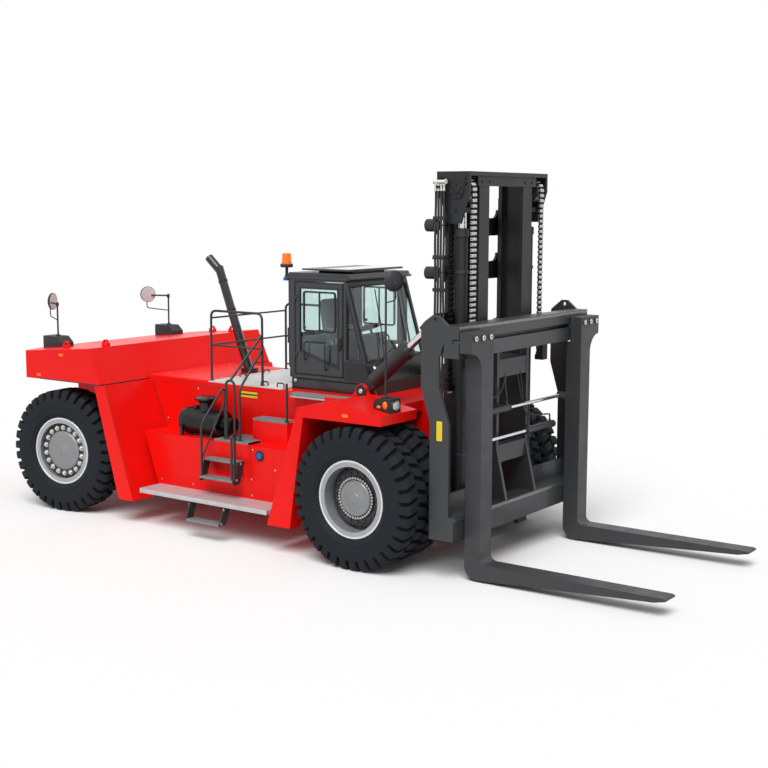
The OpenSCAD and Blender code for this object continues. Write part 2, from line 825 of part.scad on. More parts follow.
// Lid over the engine, hinged at its front edge
module engine_hatch() color("lightgray") place() {
    box(hatch_x0, hatch_x1, -hatch_hw, hatch_hw, deck_z + rod_fit, deck_z + deck_t);
    hatch_hinge(hatch_x1 - post_w, hatch_hw * half + hinge_h + rod_fit);
}

// Long aluminium boards beside the tanks and the step plates beside the cab
module running_boards() color("silver") place() both() {
    box(board_x0, board_x1, tank_hw, board_hw, board_z - board_t, board_z);
    box(plat_x1, hull_x1 - over, hull_hw, front_deck_hw - gap, deck_z - board_t, deck_z);
    x0 = drop_x0 + cheek_w * half;
    translate([0, 0, tank_z1]) linear_extrude(board_t * half) polygon([
        [x0, hull_hw], [plat_x0, hull_hw], [plat_x0, hull_hw + plat_w], [plat_x0 + loop_w, hull_hw + plat_w],
        [plat_x0 + loop_w, tank_hw - gap], [x0, tank_hw - gap]]);
    box(plat_x0, plat_x1, hull_hw, hull_hw + plat_w, plat_z - sheet_t, plat_z);
}

// Drop step and ladder treads between slanted cheeks
module boarding_steps() color("dimgray") place() both() {
    cheeks(board_hw + drop_out, board_hw, drop_z - sheet_t, board_z - board_t);
    box(drop_x0, drop_x1, board_hw + drop_out - cheek_w, board_hw + drop_out, drop_z - sheet_t, drop_z);
    cheeks(tank_hw + tread_d, tank_hw + cheek_w, tread1_z - cheek_w * half, tread2_z);
    box(drop_x0, drop_x1, tank_hw + tread_d - cheek_w, tank_hw + tread_d, tread1_z - sheet_t, tread1_z);
    box(drop_x0, drop_x1, tank_hw, tank_hw + cheek_w, tread2_z - sheet_t, tread2_z);
}

// Pair of cheeks leaning from (y0, z0) at the foot to (y1, z1) at the head
module cheeks(y0, y1, z0, z1) for (x = [drop_x0, drop_x1 - sheet_t])
    prism_x([[y0 - cheek_w, z0], [y0, z0], [y1, z1], [y1 - cheek_w, z1]], x, x + sheet_t);

// Tube rails round the deck with the hand loops of the ladder
module handrails() color("black") place() {
    z0 = deck_z + deck_t;
    z1 = z0 + rail_h - rail_r;
    zm = z0 + rail_h * half;
    y = hull_hw - rail_in;
    for (z = [zm, z1 - rail_bend]) rod([rail_x0, -y, z], [rail_x0, y, z], rail_r * rail_share);
    rod([rail_x0, y, z0 + post_w], [rail_x1, y, z0 + post_w], rail_r * rail_share);
    both() {
        pipe([[rail_x0, y, z0], [rail_x0, y, z1 - rail_bend], [rail_x0 + rail_bend, y, z1],
            [rail_x1 - rail_bend, y, z1], [rail_x1, y, z1 - rail_bend], [rail_x1, y, z0]], rail_r);
        rod([rail_x0, y, zm], [rail_x1, y, zm], rail_r * rail_share);
        lower_loops();
        upper_loops();
    }
}

// Hand loops beside the ladder treads
module lower_loops() {
    x0 = drop_x0 + sheet_t + rail_r + over;
    x1 = drop_x0 + loop_w + rail_r;
    x2 = drop_x1 - sheet_t - rail_r - over;
    y0 = tank_hw + tread_d - rail_r;
    y1 = tank_hw - loop_w * 3 / 4;
    y2 = y0 - cheek_w * half;
    zb = tank_z1 + board_t * half;
    pipe([[x0, y0, tread1_z], [x0, y0, loop_z0], [x1, y1 + loop_w / 3, loop_z1],
        [x1, y1, loop_z1 + rail_r], [x1, y1 - rail_r, loop_z1 - loop_w / 3], [x1, y1 - rail_r, zb]], rail_r);
    rod([x0, y0, tread2_z], [x1, y1 - rail_r, loop_z1 - loop_w], rail_r * rail_share);
    pipe([[x2, y0, tread1_z], [x2, y0, loop_z2], [x2, (y0 + y2) * half, loop_z2 + cheek_w * half],
        [x2, y2, loop_z2], [x2, y2, tread1_z]], rail_r);
}

// Hand loops from the tank top to the deck rail
module upper_loops() {
    y0 = tank_hw - loop_w * half;
    y1 = hull_hw - rail_in;
    z0 = deck_z + deck_t;
    pipe([[plat_x0 - loop_w * 2, y0, tank_z1 + board_t * half], [plat_x0 - loop_w * 2, y0, z0],
        [plat_x0 - loop_w * 3 / 2, y0, z0 + rail_bend], [plat_x0 - loop_w, y0, z0],
        [plat_x0 - loop_w, y0, tank_z1 + board_t * half]], rail_r);
    rod([plat_x0 - loop_w * 3 / 2, y0, z0 + rail_bend], [rail_x1, y1, z0 + rail_h * loop_share], rail_r);
    pipe([[rail_x1, y0, tank_z1 + board_t * half], [rail_x1, y0, z0], [rail_x1, y1, z0 + rail_h * half]],
        rail_r);
    cyl_z(plat_x1 - rail_r, hull_hw + plat_w - rail_r, rail_r, plat_z, deck_z + deck_t + rail_bend);
}

// Air cleaner on the tank top, with clamp bands and a hooded intake
module air_cleaner() color("black") place() {
    z = tank_z1 + air_r + 2 * over;
    cyl_x(-air_y, z, air_r, air_x0, air_x0 + air_l);
    for (x = [air_x0 + air_l / 5, air_x0 + air_l * 4 / 5])
        cyl_x(-air_y, z, air_r + over, x, x + plate_t);
    translate([air_x0 + air_l * half, -air_y, z]) rotate_extrude() polygon([
        [0, 0], [air_r * half, 0], [air_r * half, air_r * 3 / 2], [air_r * 7 / 8, air_r * 7 / 4],
        [air_r * 7 / 8, air_r * 15 / 8], [air_r * half, air_r * 2], [0, air_r * 2]]);
    cyl_x(-air_y, z, air_r * half, air_x0, air_x0 + air_l + air_r);
    box(air_x0 + air_r, air_x0 + air_l - air_r, -air_y - air_r * half, -air_y + air_r * half, tank_z1, z);
}

// Leaning exhaust pipe with a bent tail
module exhaust_stack() color("black") place() {
    z0 = deck_z + deck_t;
    cyl_z(exhaust_x0, exhaust_y, exhaust_r * 2, z0, z0 + exhaust_r);
    difference() {
        union() {
            rod([exhaust_x0, exhaust_y, z0], [exhaust_x1, exhaust_y, exhaust_z1], exhaust_r);
            rod([exhaust_x1 + exhaust_r * half, exhaust_y, exhaust_z1 - exhaust_r],
                [exhaust_x1 - 3 * exhaust_r, exhaust_y, exhaust_z1 + 2 * exhaust_r], exhaust_r);
        }
        box(exhaust_x0 - 3 * exhaust_r, exhaust_x0 + 3 * exhaust_r, exhaust_y - 2 * exhaust_r,
            exhaust_y + 2 * exhaust_r, z0 - 3 * exhaust_r, z0);
    }
}

// Height of the fender's front slope
function fender_top(x) = fender_ridge_z
    + (fender_z1 - fender_ridge_z) * (x - fender_ridge_x) / (fender_x1 - fender_ridge_x);

// Lamp boxes on the fenders and on the counterweight
module lamp_boxes() color("black") place() both() {
    x0 = front_lamp_x;
    x1 = front_lamp_x + lamp_l * 3 / 5;
    x2 = rear_lamp_x + lamp_l;
    z2 = cw_top(rear_lamp_x) + lamp_h;
    prism_y([[x0, fender_top(x0) + rod_fit], [x1, fender_top(x1) + rod_fit], [x1, fender_z1 + lamp_h],
        [x0 + lamp_l / 8, fender_z1 + lamp_h], [x0, fender_z1 + lamp_h * 3 / 4]],
        front_lamp_y - lamp_w * half, front_lamp_y + lamp_w * half);
    prism_y([[rear_lamp_x, z2 - lamp_h + rod_fit], [x2, cw_top(x2) + rod_fit], [x2, z2 - lamp_h * half],
        [x2 - lamp_l / 4, z2], [rear_lamp_x, z2]],
        rear_lamp_y - lamp_w * half, rear_lamp_y + lamp_w * half);
}

// Post with a turned round mirror on an arm and a brace
module mirror_on(x, y, z0, z1, arm) {
    cyl_z(x, y, post_r * rail_share, z0, z1);
    rod([x, y, z1 - post_r], [x + arm[0], y + arm[1], z1 - post_r], post_r * rail_share);
    rod([x, y, z1 - mirror_r * 2], [x + arm[0], y + arm[1], z1 - mirror_r * half], post_r * half);
    translate([x + arm[0], y + arm[1], z1]) rotate([0, 90, arm[2]]) cylinder(h = 2 * post_r, r = mirror_r,
        center = true);
}

// Round mirrors that face the driver
module mirrors() color("black") place() both() {
    mirror_on(front_lamp_x + lamp_l / 4, front_lamp_y, fender_z1 + lamp_h, front_mirror_z, front_arm);
    mirror_on(rear_lamp_x + lamp_l * half, rear_lamp_y, cw_top(rear_lamp_x) + lamp_h, rear_mirror_z, rear_arm);
}

// Lifting lugs on the counterweight
module lifting_lugs() color("red") place() both() for (p = lug_at) {
    x0 = p[0] - lug_l * half;
    x1 = p[0] + lug_l * half;
    z = cw_top(p[0]) + lug_h * half + over;
    difference() {
        union() {
            prism_y([[x0, cw_top(x0) + rod_fit], [x1, cw_top(x1) + rod_fit], [x1, z], [x0, z]],
                p[1], p[1] + plate_t);
            cyl_y(p[0], z, lug_h * half, p[1], p[1] + plate_t);
        }
        cyl_y(p[0], z, lug_r, p[1] - over, p[1] + plate_t + over);
    }
}

// Drive axle with its case and spindles
module drive_axle() color("dimgray") place() {
    cyl_y(wheelbase, tyre_r, axle_r, -axle_hw, axle_hw);
    cyl_y(wheelbase, tyre_r, front_spindle_r, -front_outer_y, front_outer_y);
    box(wheelbase - axle_case_r, wheelbase + axle_case_r, -axle_case_hw, axle_case_hw,
        tyre_r - axle_case_r, pocket_z);
}

// Steer axle beam with forked ends
module steer_axle() color("dimgray") place() {
    difference() {
        union() {
            box(-steer_beam_hx, steer_beam_hx, -kingpin_y + knuckle_h * 3 / 2, kingpin_y - knuckle_h * 3 / 2,
                tyre_r - steer_beam_hz, tyre_r + steer_beam_hz);
            both() for (z = [tyre_r + knuckle_hz + over, tyre_r - knuckle_hz - over - yoke_t]) {
                cyl_z(0, kingpin_y, knuckle_h, z, z + yoke_t);
                box(-knuckle_h, knuckle_h, kingpin_y - 2 * knuckle_h, kingpin_y, z, z + yoke_t);
            }
        }
        both() cyl_z(0, kingpin_y, kingpin_r + run_fit, tyre_r - 2 * knuckle_hz, tyre_r + 2 * knuckle_hz);
    }
    box(-steer_beam_hx, steer_beam_hx, -steer_beam_hx, steer_beam_hx, tyre_r + steer_beam_hz, pocket_z);
}

// Steering knuckle with kingpin and spindle
module knuckle() {
    box(-knuckle_h, knuckle_h, -knuckle_h, knuckle_h, tyre_r - knuckle_hz, tyre_r + knuckle_hz);
    cyl_z(0, 0, kingpin_r, tyre_r - knuckle_hz - yoke_t, tyre_r + knuckle_hz + yoke_t);
    cyl_y(0, tyre_r, rear_spindle_r, 0, kingpin_off + rear_hub_r * half);
}

module steered(s) {
    translate([0, s * kingpin_y, 0]) rotate([0, 0, steer_rest]) side(s) children();
}

// Rear rim with disc and hub, drawn about the kingpin
module rear_rim() {
    translate([0, kingpin_off, tyre_r]) rotate([-90, 0, 0]) difference() {
        union() {
            rotate_extrude() rim_profile();
            translate([0, 0, rim_t]) cylinder(h = rim_t, r = bead_r - rim_t * half);
            translate([0, 0, -rim_t]) cylinder(h = rim_w * half, r = rear_hub_r);
        }
        translate([0, 0, -rim_w]) cylinder(h = rim_w + rear_hub_r * half + over, r = rear_spindle_r + run_fit);
    }
}

module rim_profile() polygon([
    [bead_r - rim_t, -rim_w * half], [rim_r, -rim_w * half], [rim_r, flange_t - rim_w * half],
    [bead_r, flange_t - rim_w * half], [bead_r, rim_w * half - flange_t], [rim_r, rim_w * half - flange_t],
    [rim_r, rim_w * half], [bead_r - rim_t, rim_w * half]]);

// Points of a ring about the axle, from the ground upwards
function ring(n, r, h, turn = 0) = [for (i = [0 : n - 1])
    [r * cos(90 + turn + 360 * i / n), r * sin(90 + turn + 360 * i / n), h]];

// Strip of triangles between two rings of n points that start at a and b
function strip(n, a, b) = [for (i = [0 : n - 1]) each
    [[a + i, b + i, b + (i + 1) % n], [a + i, b + (i + 1) % n, a + (i + 1) % n]]];

// Strip between a ring of n points at a and one of twice as many at b
function fan(n, a, b) = [for (i = [0 : n - 1]) each
    [[a + i, b + 2 * i, b + 2 * i + 1], [a + i, b + 2 * i + 1, a + (i + 1) % n],
        [a + (i + 1) % n, b + 2 * i + 1, b + (2 * i + 2) % (2 * n)]]];

// Faces turned over
function turned(faces) = [for (f = faces) [f[2], f[1], f[0]]];

// Row of bars on rings foot l, edge high e and low f, middle high m and low k; every second cell is a bar
function bar_row(n, l, e, f, m, k, odd) = [for (i = [0 : 2 * n - 1]) let (
    j = (i + 1) % (2 * n),
    bar = i % 2 == odd,
    p = bar ? e : f,
    q = bar ? m : k
) each concat(
    [[l + i, p + i, p + j], [l + i, p + j, l + j], [p + i, q + i, q + j], [p + i, q + j, p + j]],
    bar ? concat([[m + i, k + i, k + j], [m + i, k + j, m + j]], bar_end(l + i, e + i, f + i, m + i, k + i),
        turned(bar_end(l + j, e + j, f + j, m + j, k + j))) : [])];

// End wall of a bar
function bar_end(l, e, f, m, k) = [[l, f, e], [e, f, k], [e, k, m]];

// Tyre with two staggered rows of tread bars, its foot towards the ground
module tyre(y) translate([0, y, tyre_r]) rotate([-90, 0, 0]) {
    n = bar_n;
    b = rim_w * half - flange_t - run_fit;
    bore = (bead_r + rod_fit) / cos(180 / n);
    lip = (rim_r + rod_fit) / cos(180 / n);
    w = tyre_w * half;
    low = tyre_r - bar_h;
    rows = [for (s = [-1, 1]) each concat(ring(n, bore, s * b), ring(n, lip, s * b),
        ring(n, (rim_r + tyre_r) * half, s * w), ring(2 * n, tyre_r - 2 * shoulder, s * w * foot_share),
        ring(2 * n, tyre_r, s * w * crown_share), ring(2 * n, low, s * w * crown_share),
        ring(2 * n, tyre_r, s * gap, bar_lean), ring(2 * n, low, s * gap, bar_lean))];
    o = 13 * n;
    flank = concat(strip(n, 0, n), strip(n, n, 2 * n), fan(n, 2 * n, 3 * n),
        bar_row(n, 3 * n, 5 * n, 7 * n, 9 * n, 11 * n, 0));
    mate = concat(strip(n, o, o + n), strip(n, o + n, o + 2 * n), fan(n, o + 2 * n, o + 3 * n),
        bar_row(n, o + 3 * n, o + 5 * n, o + 7 * n, o + 9 * n, o + 11 * n, 1));
    polyhedron(points = rows,
        faces = concat(flank, turned(mate), strip(2 * n, 11 * n, o + 11 * n), turned(strip(n, 0, o))));
}

// Twin rim of the drive axle with its planetary hub, drawn at the axle
module front_rim() {
    d = (front_outer_y + front_inner_y) * half;
    difference() {
        union() {
            for (y = [front_inner_y, front_outer_y])
                translate([0, y, tyre_r]) rotate([-90, 0, 0]) rotate_extrude() rim_profile();
            translate([0, d, tyre_r]) rotate([-90, 0, 0]) rotate_extrude() polygon([
                [bead_r - rim_t, -twin_pitch * half + rim_w * half - over],
                [bead_r, -twin_pitch * half + rim_w * half - over],
                [bead_r, twin_pitch * half - rim_w * half + over],
                [bead_r - rim_t, twin_pitch * half - rim_w * half + over]]);
            cyl_y(0, tyre_r, bead_r - rim_t * half, d - rim_t, d + rim_t);
            cyl_y(0, tyre_r, hub_r, front_inner_y - rim_w * half, d);
            cyl_y(0, tyre_r, cover_r, d, front_outer_y + rim_w * half - cover_in);
        }
        cyl_y(0, tyre_r, front_spindle_r + run_fit, 0, front_outer_y + over);
    }
}

// Plinth under the cab
module cab_base() color("black") place()
    box(cab_x0, cab_x2, -cab_hw + wall_t, cab_hw - wall_t, deck_z, cab_z0);

function screen_x(z) = cab_x2 + (cab_x1 - cab_x2) * (z - cab_z0) / (cab_z1 - cab_z0);

// Cab walls with window openings, open at the door ways
module cab_shell() color("black") place() {
    cab_walls();
    both() door_hinges();
}

module cab_walls() difference() {
    prism_y([[cab_x0, cab_z0], [cab_x2, cab_z0], [cab_x1, cab_z1], [cab_x0, cab_z1]], -cab_hw, cab_hw);
    prism_y([[cab_x0 + wall_t, cab_z0 + wall_t], [screen_x(cab_z0 + wall_t) - wall_t, cab_z0 + wall_t],
        [cab_x1 - wall_t, cab_z1 + over], [cab_x0 + wall_t, cab_z1 + over]], -cab_hw + wall_t, cab_hw - wall_t);
    box(cab_x0 - over, cab_x0 + wall_t + over, post_w - cab_hw, cab_hw - post_w, cab_z0 + sill * 2,
        cab_z1 - post_w);
    box(cab_x1 - wall_t - over - post_w, cab_x2 + over, wall_t - cab_hw, cab_hw - wall_t, cab_z0 + sill,
        cab_z1 - post_w);
    both() quarter_window(cab_hw - wall_t - over, cab_hw + over);
    box(door_x0 - gap, door_x1 + gap, -cab_hw - over, cab_hw + over, cab_z0 + wall_t, cab_z1 - wall_t + gap);
}

// Side window between the door and the windscreen
module quarter_window(y0, y1) {
    z0 = cab_z0 + sill;
    x0 = door_x1 + gap + post_w * half;
    rise = (screen_x(z0) - post_w * half - x0) * (cab_z1 - cab_z0) / (cab_x2 - cab_x1);
    prism_y([[x0, z0], [screen_x(z0) - post_w * half, z0], [x0, z0 + rise]], y0, y1);
}

// Roof with a raised plate on two bars
module cab_roof() color("black") place() {
    prism_y([[cab_x0 - post_w * half, cab_z1], [cab_x1 + post_w, cab_z1], [cab_x1 + post_w * half, cab_z2],
        [cab_x0, cab_z2], [cab_x0 - post_w * half, cab_z1 + post_w * half]], -cab_hw, cab_hw);
    for (x = [cab_x0 + 3 * post_w, cab_x1 - 2 * post_w])
        box(x, x + plate_t, -cab_hw * half, cab_hw * half, cab_z2 - over, cab_z2 + plate_t);
    box(cab_x0 + 2 * post_w, cab_x1, post_w - cab_hw, cab_hw - post_w, cab_z2 + plate_t - over,
        cab_z2 + plate_t + sheet_t);
}

// Windscreen, side quarter windows and rear window
module cab_glass() color("lightblue") place() {
    z0 = cab_z0 + sill;
    z1 = cab_z1 - post_w;
    prism_y([[screen_x(z0) - wall_t * half, z0], [screen_x(z0) - wall_t * half + glass_t, z0],
        [screen_x(z1) - wall_t * half + glass_t, z1], [screen_x(z1) - wall_t * half, z1]],
        wall_t - cab_hw, cab_hw - wall_t);
    both() quarter_window(cab_hw - (wall_t + glass_t) * half, cab_hw - (wall_t - glass_t) * half);
    box(cab_x0 + wall_t * half, cab_x0 + wall_t * half + glass_t, post_w - cab_hw, cab_hw - post_w,
        cab_z0 + sill * 2, z1);
}

// Opening of a side door, its lower edge falling towards the front
module door_window(y0, y1) {
    z0 = cab_z0 + sill + post_w;
    z1 = cab_z1 - wall_t - post_w;
    prism_y([[door_x0 + post_w, z0], [door_x1 - post_w, z0 - door_fall], [door_x1 - post_w, z1],
        [door_x0 + post_w, z1]], y0, y1);
}

// Side door, hinged at its rear edge
module door() {
    difference() {
        box(door_x0, door_x1, cab_hw - wall_t, cab_hw, cab_z0 + wall_t + gap, cab_z1 - wall_t);
        door_window(cab_hw - wall_t - over, cab_hw + over);
    }
    for (z = hinge_z) {
        cyl_z(door_x0, cab_hw + hinge_out, hinge_r, z, z + hinge_h);
        box(door_x0, door_x0 + post_w * half, cab_hw, cab_hw + hinge_out, z, z + hinge_h);
    }
}

module door_hinges() for (z = hinge_z) {
    cyl_z(door_x0, cab_hw + hinge_out, hinge_r, z - hinge_h, z - rod_fit);
    box(door_x0 - post_w * half - hinge_r, door_x0 - hinge_r * half, cab_hw - over, cab_hw + hinge_out,
        z - hinge_h, z - rod_fit);
}

module door_glass() door_window(cab_hw - (wall_t + glass_t) * half, cab_hw - (wall_t - glass_t) * half);

// Driver's seat on its pedestal, its back leaning
module cab_seat() color("dimgray") place() {
    z0 = cab_z0 + wall_t;
    z1 = z0 + ped_h + cushion_t;
    x0 = seat_x - seat_w * half;
    box(seat_x - ped_w * half, seat_x + ped_w * half, -ped_w * half, ped_w * half, z0, z0 + ped_h);
    prism_y([[x0, z0 + ped_h], [x0 + seat_w, z0 + ped_h], [x0 + seat_w, z1 - cushion_t * half],
        [x0 + seat_w - cushion_t * half, z1], [x0, z1]], -seat_w * half, seat_w * half);
    prism_y([[x0, z1 - over], [x0 + back_t, z1 - over], [x0 + back_t - back_lean, z1 + back_h],
        [x0 - back_lean, z1 + back_h]], -seat_w * half, seat_w * half);
}

// Dash with steering column and wheel
module cab_console() color("black") place() {
    z0 = cab_z0 + wall_t;
    x = seat_x + seat_reach;
    box(x, x + seat_w * half, -seat_w * half, seat_w * half, z0, z0 + dash_h);
    rod([x + column_l * half, 0, z0 + dash_h - column_l * half],
        [x - column_l * half, 0, z0 + dash_h + column_l], rail_r);
    translate([x - column_l * half, 0, z0 + dash_h + column_l]) rotate([0, -wheel_lean, 0]) {
        rotate_extrude() translate([wheel_r, 0]) circle(r = rail_r);
        translate([-rail_r, -wheel_r, -rail_r * half]) cube([2 * rail_r, 2 * wheel_r, rail_r]);
    }
}

// Warning lamp on an arm behind the roof's rear corner
module beacon() color("orange") place() {
    x = cab_x0 - post_w;
    y = post_w * half - cab_hw;
    box(x - rail_r, cab_x0 - post_w * half, y - rail_r, y + rail_r, cab_z1 + rod_fit, cab_z1 + plate_t);
    cyl_z(x, y, rail_r, cab_z1 + rod_fit, cab_z2 + post_w);
    cyl_z(x, y, beacon_r + plate_t * half, cab_z2 + post_w, cab_z2 + post_w + plate_t);
    translate([x, y, cab_z2 + post_w + plate_t]) rotate_extrude() polygon([[0, 0], [beacon_r, 0],
        [beacon_r * 7 / 8, beacon_h - beacon_r / 4], [beacon_r * 2 / 3, beacon_h], [0, beacon_h]]);
}

// Cheeks that hold the rear pins of the tilt cylinders
module tilt_brackets() color("red") place() both() {
    for (y = [tilt_y - tilt_eye_hw - gap - plate_t, tilt_y + tilt_eye_hw + gap]) {
        prism_y([[tilt_x - 2 * tilt_eye_r, deck_z], [tilt_x + 2 * tilt_eye_r, deck_z],
            [tilt_x + tilt_eye_r, tilt_z], [tilt_x - tilt_eye_r, tilt_z]], y, y + plate_t);
        cyl_y(tilt_x, tilt_z, tilt_eye_r, y, y + plate_t);
    }
    cyl_y(tilt_x, tilt_z, tilt_pin_r, tilt_y - tilt_eye_hw - gap - plate_t * half,
        tilt_y + tilt_eye_hw + gap + plate_t * half);
}

module along_tilt() translate([tilt_x, tilt_y, tilt_z]) rotate([0, 90 - tilt_a, 0]) children();

// Tilt cylinder barrel, drawn along its own axis from the rear pin
module tilt_barrel() difference() {
    union() {
        along_tilt() translate([0, 0, tilt_barrel_s0])
            cylinder(h = tilt_barrel_s1 - tilt_barrel_s0, r = tilt_r);
        along_tilt() translate([-tilt_eye_r * 3 / 4, over - tilt_eye_hw, 0])
            cube([tilt_eye_r * 3 / 2, 2 * (tilt_eye_hw - over), tilt_barrel_s0 + over]);
        cyl_y(tilt_x, tilt_z, tilt_eye_r, tilt_y - tilt_eye_hw, tilt_y + tilt_eye_hw);
    }
    cyl_y(tilt_x, tilt_z, tilt_pin_r + run_fit, tilt_y - 2 * tilt_eye_hw, tilt_y + 2 * tilt_eye_hw);
    along_tilt() translate([0, 0, tilt_barrel_s0 + plate_t])
        cylinder(h = tilt_barrel_s1 - tilt_barrel_s0, r = tilt_rod_r + rod_fit);
}

// Tilt cylinder rod with the front eye
module tilt_rod() difference() {
    union() {
        along_tilt() translate([0, 0, tilt_rod_s0]) cylinder(h = tilt_l - tilt_rod_s0, r = tilt_rod_r);
        cyl_y(tilt_eye_x, tilt_eye_z, tilt_eye_r, tilt_y - tilt_eye_hw, tilt_y + tilt_eye_hw);
    }
    cyl_y(tilt_eye_x, tilt_eye_z, tilt_pin_r + tilt_play, tilt_y - 2 * tilt_eye_hw, tilt_y + 2 * tilt_eye_hw);
}

// Outer mast: channels, rear ties, pivot ears and tilt ears
module mast_outer() color("dimgray") place() {
    both() {
        box(outer_x0, outer_x1, outer_hw - plate_t, outer_hw, mast_z0, outer_z1);
        box(outer_x0, outer_x0 + mast_t, outer_in, outer_hw, mast_z0, outer_z1);
        box(outer_x1 - mast_t, outer_x1, outer_in, outer_hw, mast_z0, outer_z1);
        difference() {
            union() {
                cyl_y(pivot_x, pivot_z, ear_r, outer_in, outer_hw - 2 * plate_t);
                prism_y([[pivot_x, pivot_z - ear_r], [outer_x0 + over, pivot_z - 2 * ear_r],
                    [outer_x0 + over, pivot_z + 2 * ear_r], [pivot_x, pivot_z + ear_r]],
                    outer_in, outer_hw - 2 * plate_t);
            }
            cyl_y(pivot_x, pivot_z, pivot_r + run_fit, outer_in - over, outer_hw);
        }
        for (y = [tilt_y - tilt_eye_hw - gap - plate_t, tilt_y + tilt_eye_hw + gap])
            prism_y([[tilt_eye_x - tilt_eye_r, tilt_eye_z], [tilt_eye_x, tilt_eye_z - tilt_eye_r],
                [outer_x0 + mast_t, tilt_eye_z - 2 * tilt_eye_r],
                [outer_x0 + mast_t, tilt_eye_z + 2 * tilt_eye_r],
                [tilt_eye_x, tilt_eye_z + tilt_eye_r]], y, y + plate_t);
        box(outer_x0 + mast_t - over, outer_x0 + 2 * mast_t, outer_hw - over,
            tilt_y + tilt_eye_hw + gap + plate_t, tilt_eye_z - 2 * tilt_eye_r, tilt_eye_z + 2 * tilt_eye_r);
        cyl_y(tilt_eye_x, tilt_eye_z, tilt_pin_r, tilt_y - tilt_eye_hw - gap - over,
            tilt_y + tilt_eye_hw + gap + over);
        box(lift_x - lift_r, lift_x + lift_r, outer_hw - over, lift_y + lift_r, frame_z - plate_t, frame_z);
    }
    for (z = tie_z) {
        box(outer_x0 - plate_t, outer_x0 + over, -outer_hw, outer_hw, z, z + tie_h);
        both() box(outer_x0 - plate_t, outer_x0 + over, outer_in, outer_hw, z + tie_h - over,
            z + tie_h + tie_r);
        both() fillet_x(outer_in, z + tie_h, -1, 1, tie_r, outer_x0 - plate_t, outer_x0);
    }
    both() box(sheave_x - sheave_r - chain_t, sheave_x - sheave_r, outer_hw - over, chain_y + chain_w * half,
        anchor_z - 2 * plate_t, anchor_z);
    box(outer_x0, outer_x0 + mast_t, -outer_hw, outer_hw, mast_z0, mast_z0 + tie_h);
}

// Lift cylinder barrels beside the mast
module lift_barrels() color("dimgray") place() both() difference() {
    cyl_z(lift_x, lift_y, lift_r, frame_z, lift_z1);
    cyl_z(lift_x, lift_y, lift_rod_r + rod_fit, frame_z + tie_h, lift_z1 + over);
}

// Hose bundle up the mast on its brackets
module mast_hoses() color("black") place() {
    y = -hose_y;
    for (k = [0 : hose_n - 1])
        cyl_z(hose_x + k * hose_pitch, y, hose_r, deck_z, outer_z1 + hose_rise);
    for (z = hose_bracket_z) {
        box(hose_x - hose_pitch, hose_x + (hose_n - 1) * hose_pitch + hose_r, y - hose_r, y + hose_r, z,
            z + sheet_t);
        box(hose_x - hose_pitch, hose_x, y, -outer_hw, z, z + sheet_t);
    }
}

// Work lamps on brackets behind the outer mast
module work_lamps() color("black") place() both() for (z = work_z) {
    y = outer_hw + work_r * 2;
    box(outer_x0 - work_r, outer_x0 + mast_t, outer_hw, y, z - sheet_t * half, z + sheet_t * half);
    cyl_x(y, z, work_r, outer_x0 - work_r * 2, outer_x0 - work_r * half);
}

// Inner mast: channels, header, crown cheeks and crossheads
module mast_inner() color("dimgray") place() {
    both() {
        box(inner_x0, inner_x1, inner_hw - plate_t, inner_hw, mast_z0, mast_z1 - over);
        box(inner_x0, inner_x0 + mast_t, inner_in, inner_out, mast_z0, mast_z1 - over);
        box(inner_x1 - mast_t, inner_x1, inner_in, inner_out, mast_z0, mast_z1 - over);
        prism_y([[crown_x0, mast_z1 - mast_t], [crown_x0, sheave_z], [lift_x - lift_r, crown_z0],
            [lift_x + lift_r, crown_z0], [crown_x1, sheave_z], [crown_x1, mast_z1 - mast_t]],
            crown_hw - plate_t, crown_hw);
        cyl_y(sheave_x, sheave_z, sheave_r * 2 / 3, crown_hw - over, crown_hw + sheet_t);
        box(lift_x - lift_r, lift_x + lift_r, outer_hw + gap, crown_hw - plate_t + over, crosshead_z,
            crosshead_z + crosshead_t);
        box(lift_x - lift_r, lift_x + lift_r, outer_hw + gap, outer_hw + gap + plate_t, crosshead_z,
            mast_z1 - over);
    }
    box(crown_x0, crown_x1, -crown_hw, crown_hw, mast_z1 - mast_t, mast_z1);
    box(inner_x1 - over, crown_x1 - plate_t, -outer_hw, outer_hw, mast_z1 - header_h, mast_z1);
    box(inner_x0, inner_x0 + mast_t, -inner_in - over, inner_in + over, mast_z0, mast_z0 + tie_h);
}

// Lift rods under the crossheads
module lift_rods() color("silver") place() both()
    cyl_z(lift_x, lift_y, lift_rod_r, lift_rod_z, crosshead_z);

// Chain sheaves in the crown
module chain_sheaves() color("dimgray") place() both() {
    cyl_y(sheave_x, sheave_z, sheave_r, chain_y - chain_w * half, chain_y + chain_w * half);
    cyl_y(sheave_x, sheave_z, tilt_pin_r, outer_hw + gap + plate_t, crown_hw - plate_t);
}

// Strand of leaf chain from z0 to z1, its back at x and its links facing along s
module strand(x, s, z0, z1) {
    n = floor((z1 - z0) / (2 * chain_pitch));
    p = (z1 - z0) / n;
    d = s * chain_t;
    q = p * link_share;
    links = [for (z = [z0 : p : z1 - p * half]) each
        [[x + d, z], [x + d, z + q], [x + d * half, z + q], [x + d * half, z + p]]];
    prism_y(concat([[x, z1], [x, z0]], links), chain_y - chain_w * half, chain_y + chain_w * half);
}

// Front strands of the lift chains
module lift_chains() color("dimgray") place() both()
    strand(sheave_x + sheave_r, 1, frame_pz - plate_t, sheave_z);

// Rear strands from the anchors on the outer mast up to the sheaves
module chain_tails() color("dimgray") place() both()
    strand(sheave_x - sheave_r - rod_fit, -1, anchor_z, sheave_z);

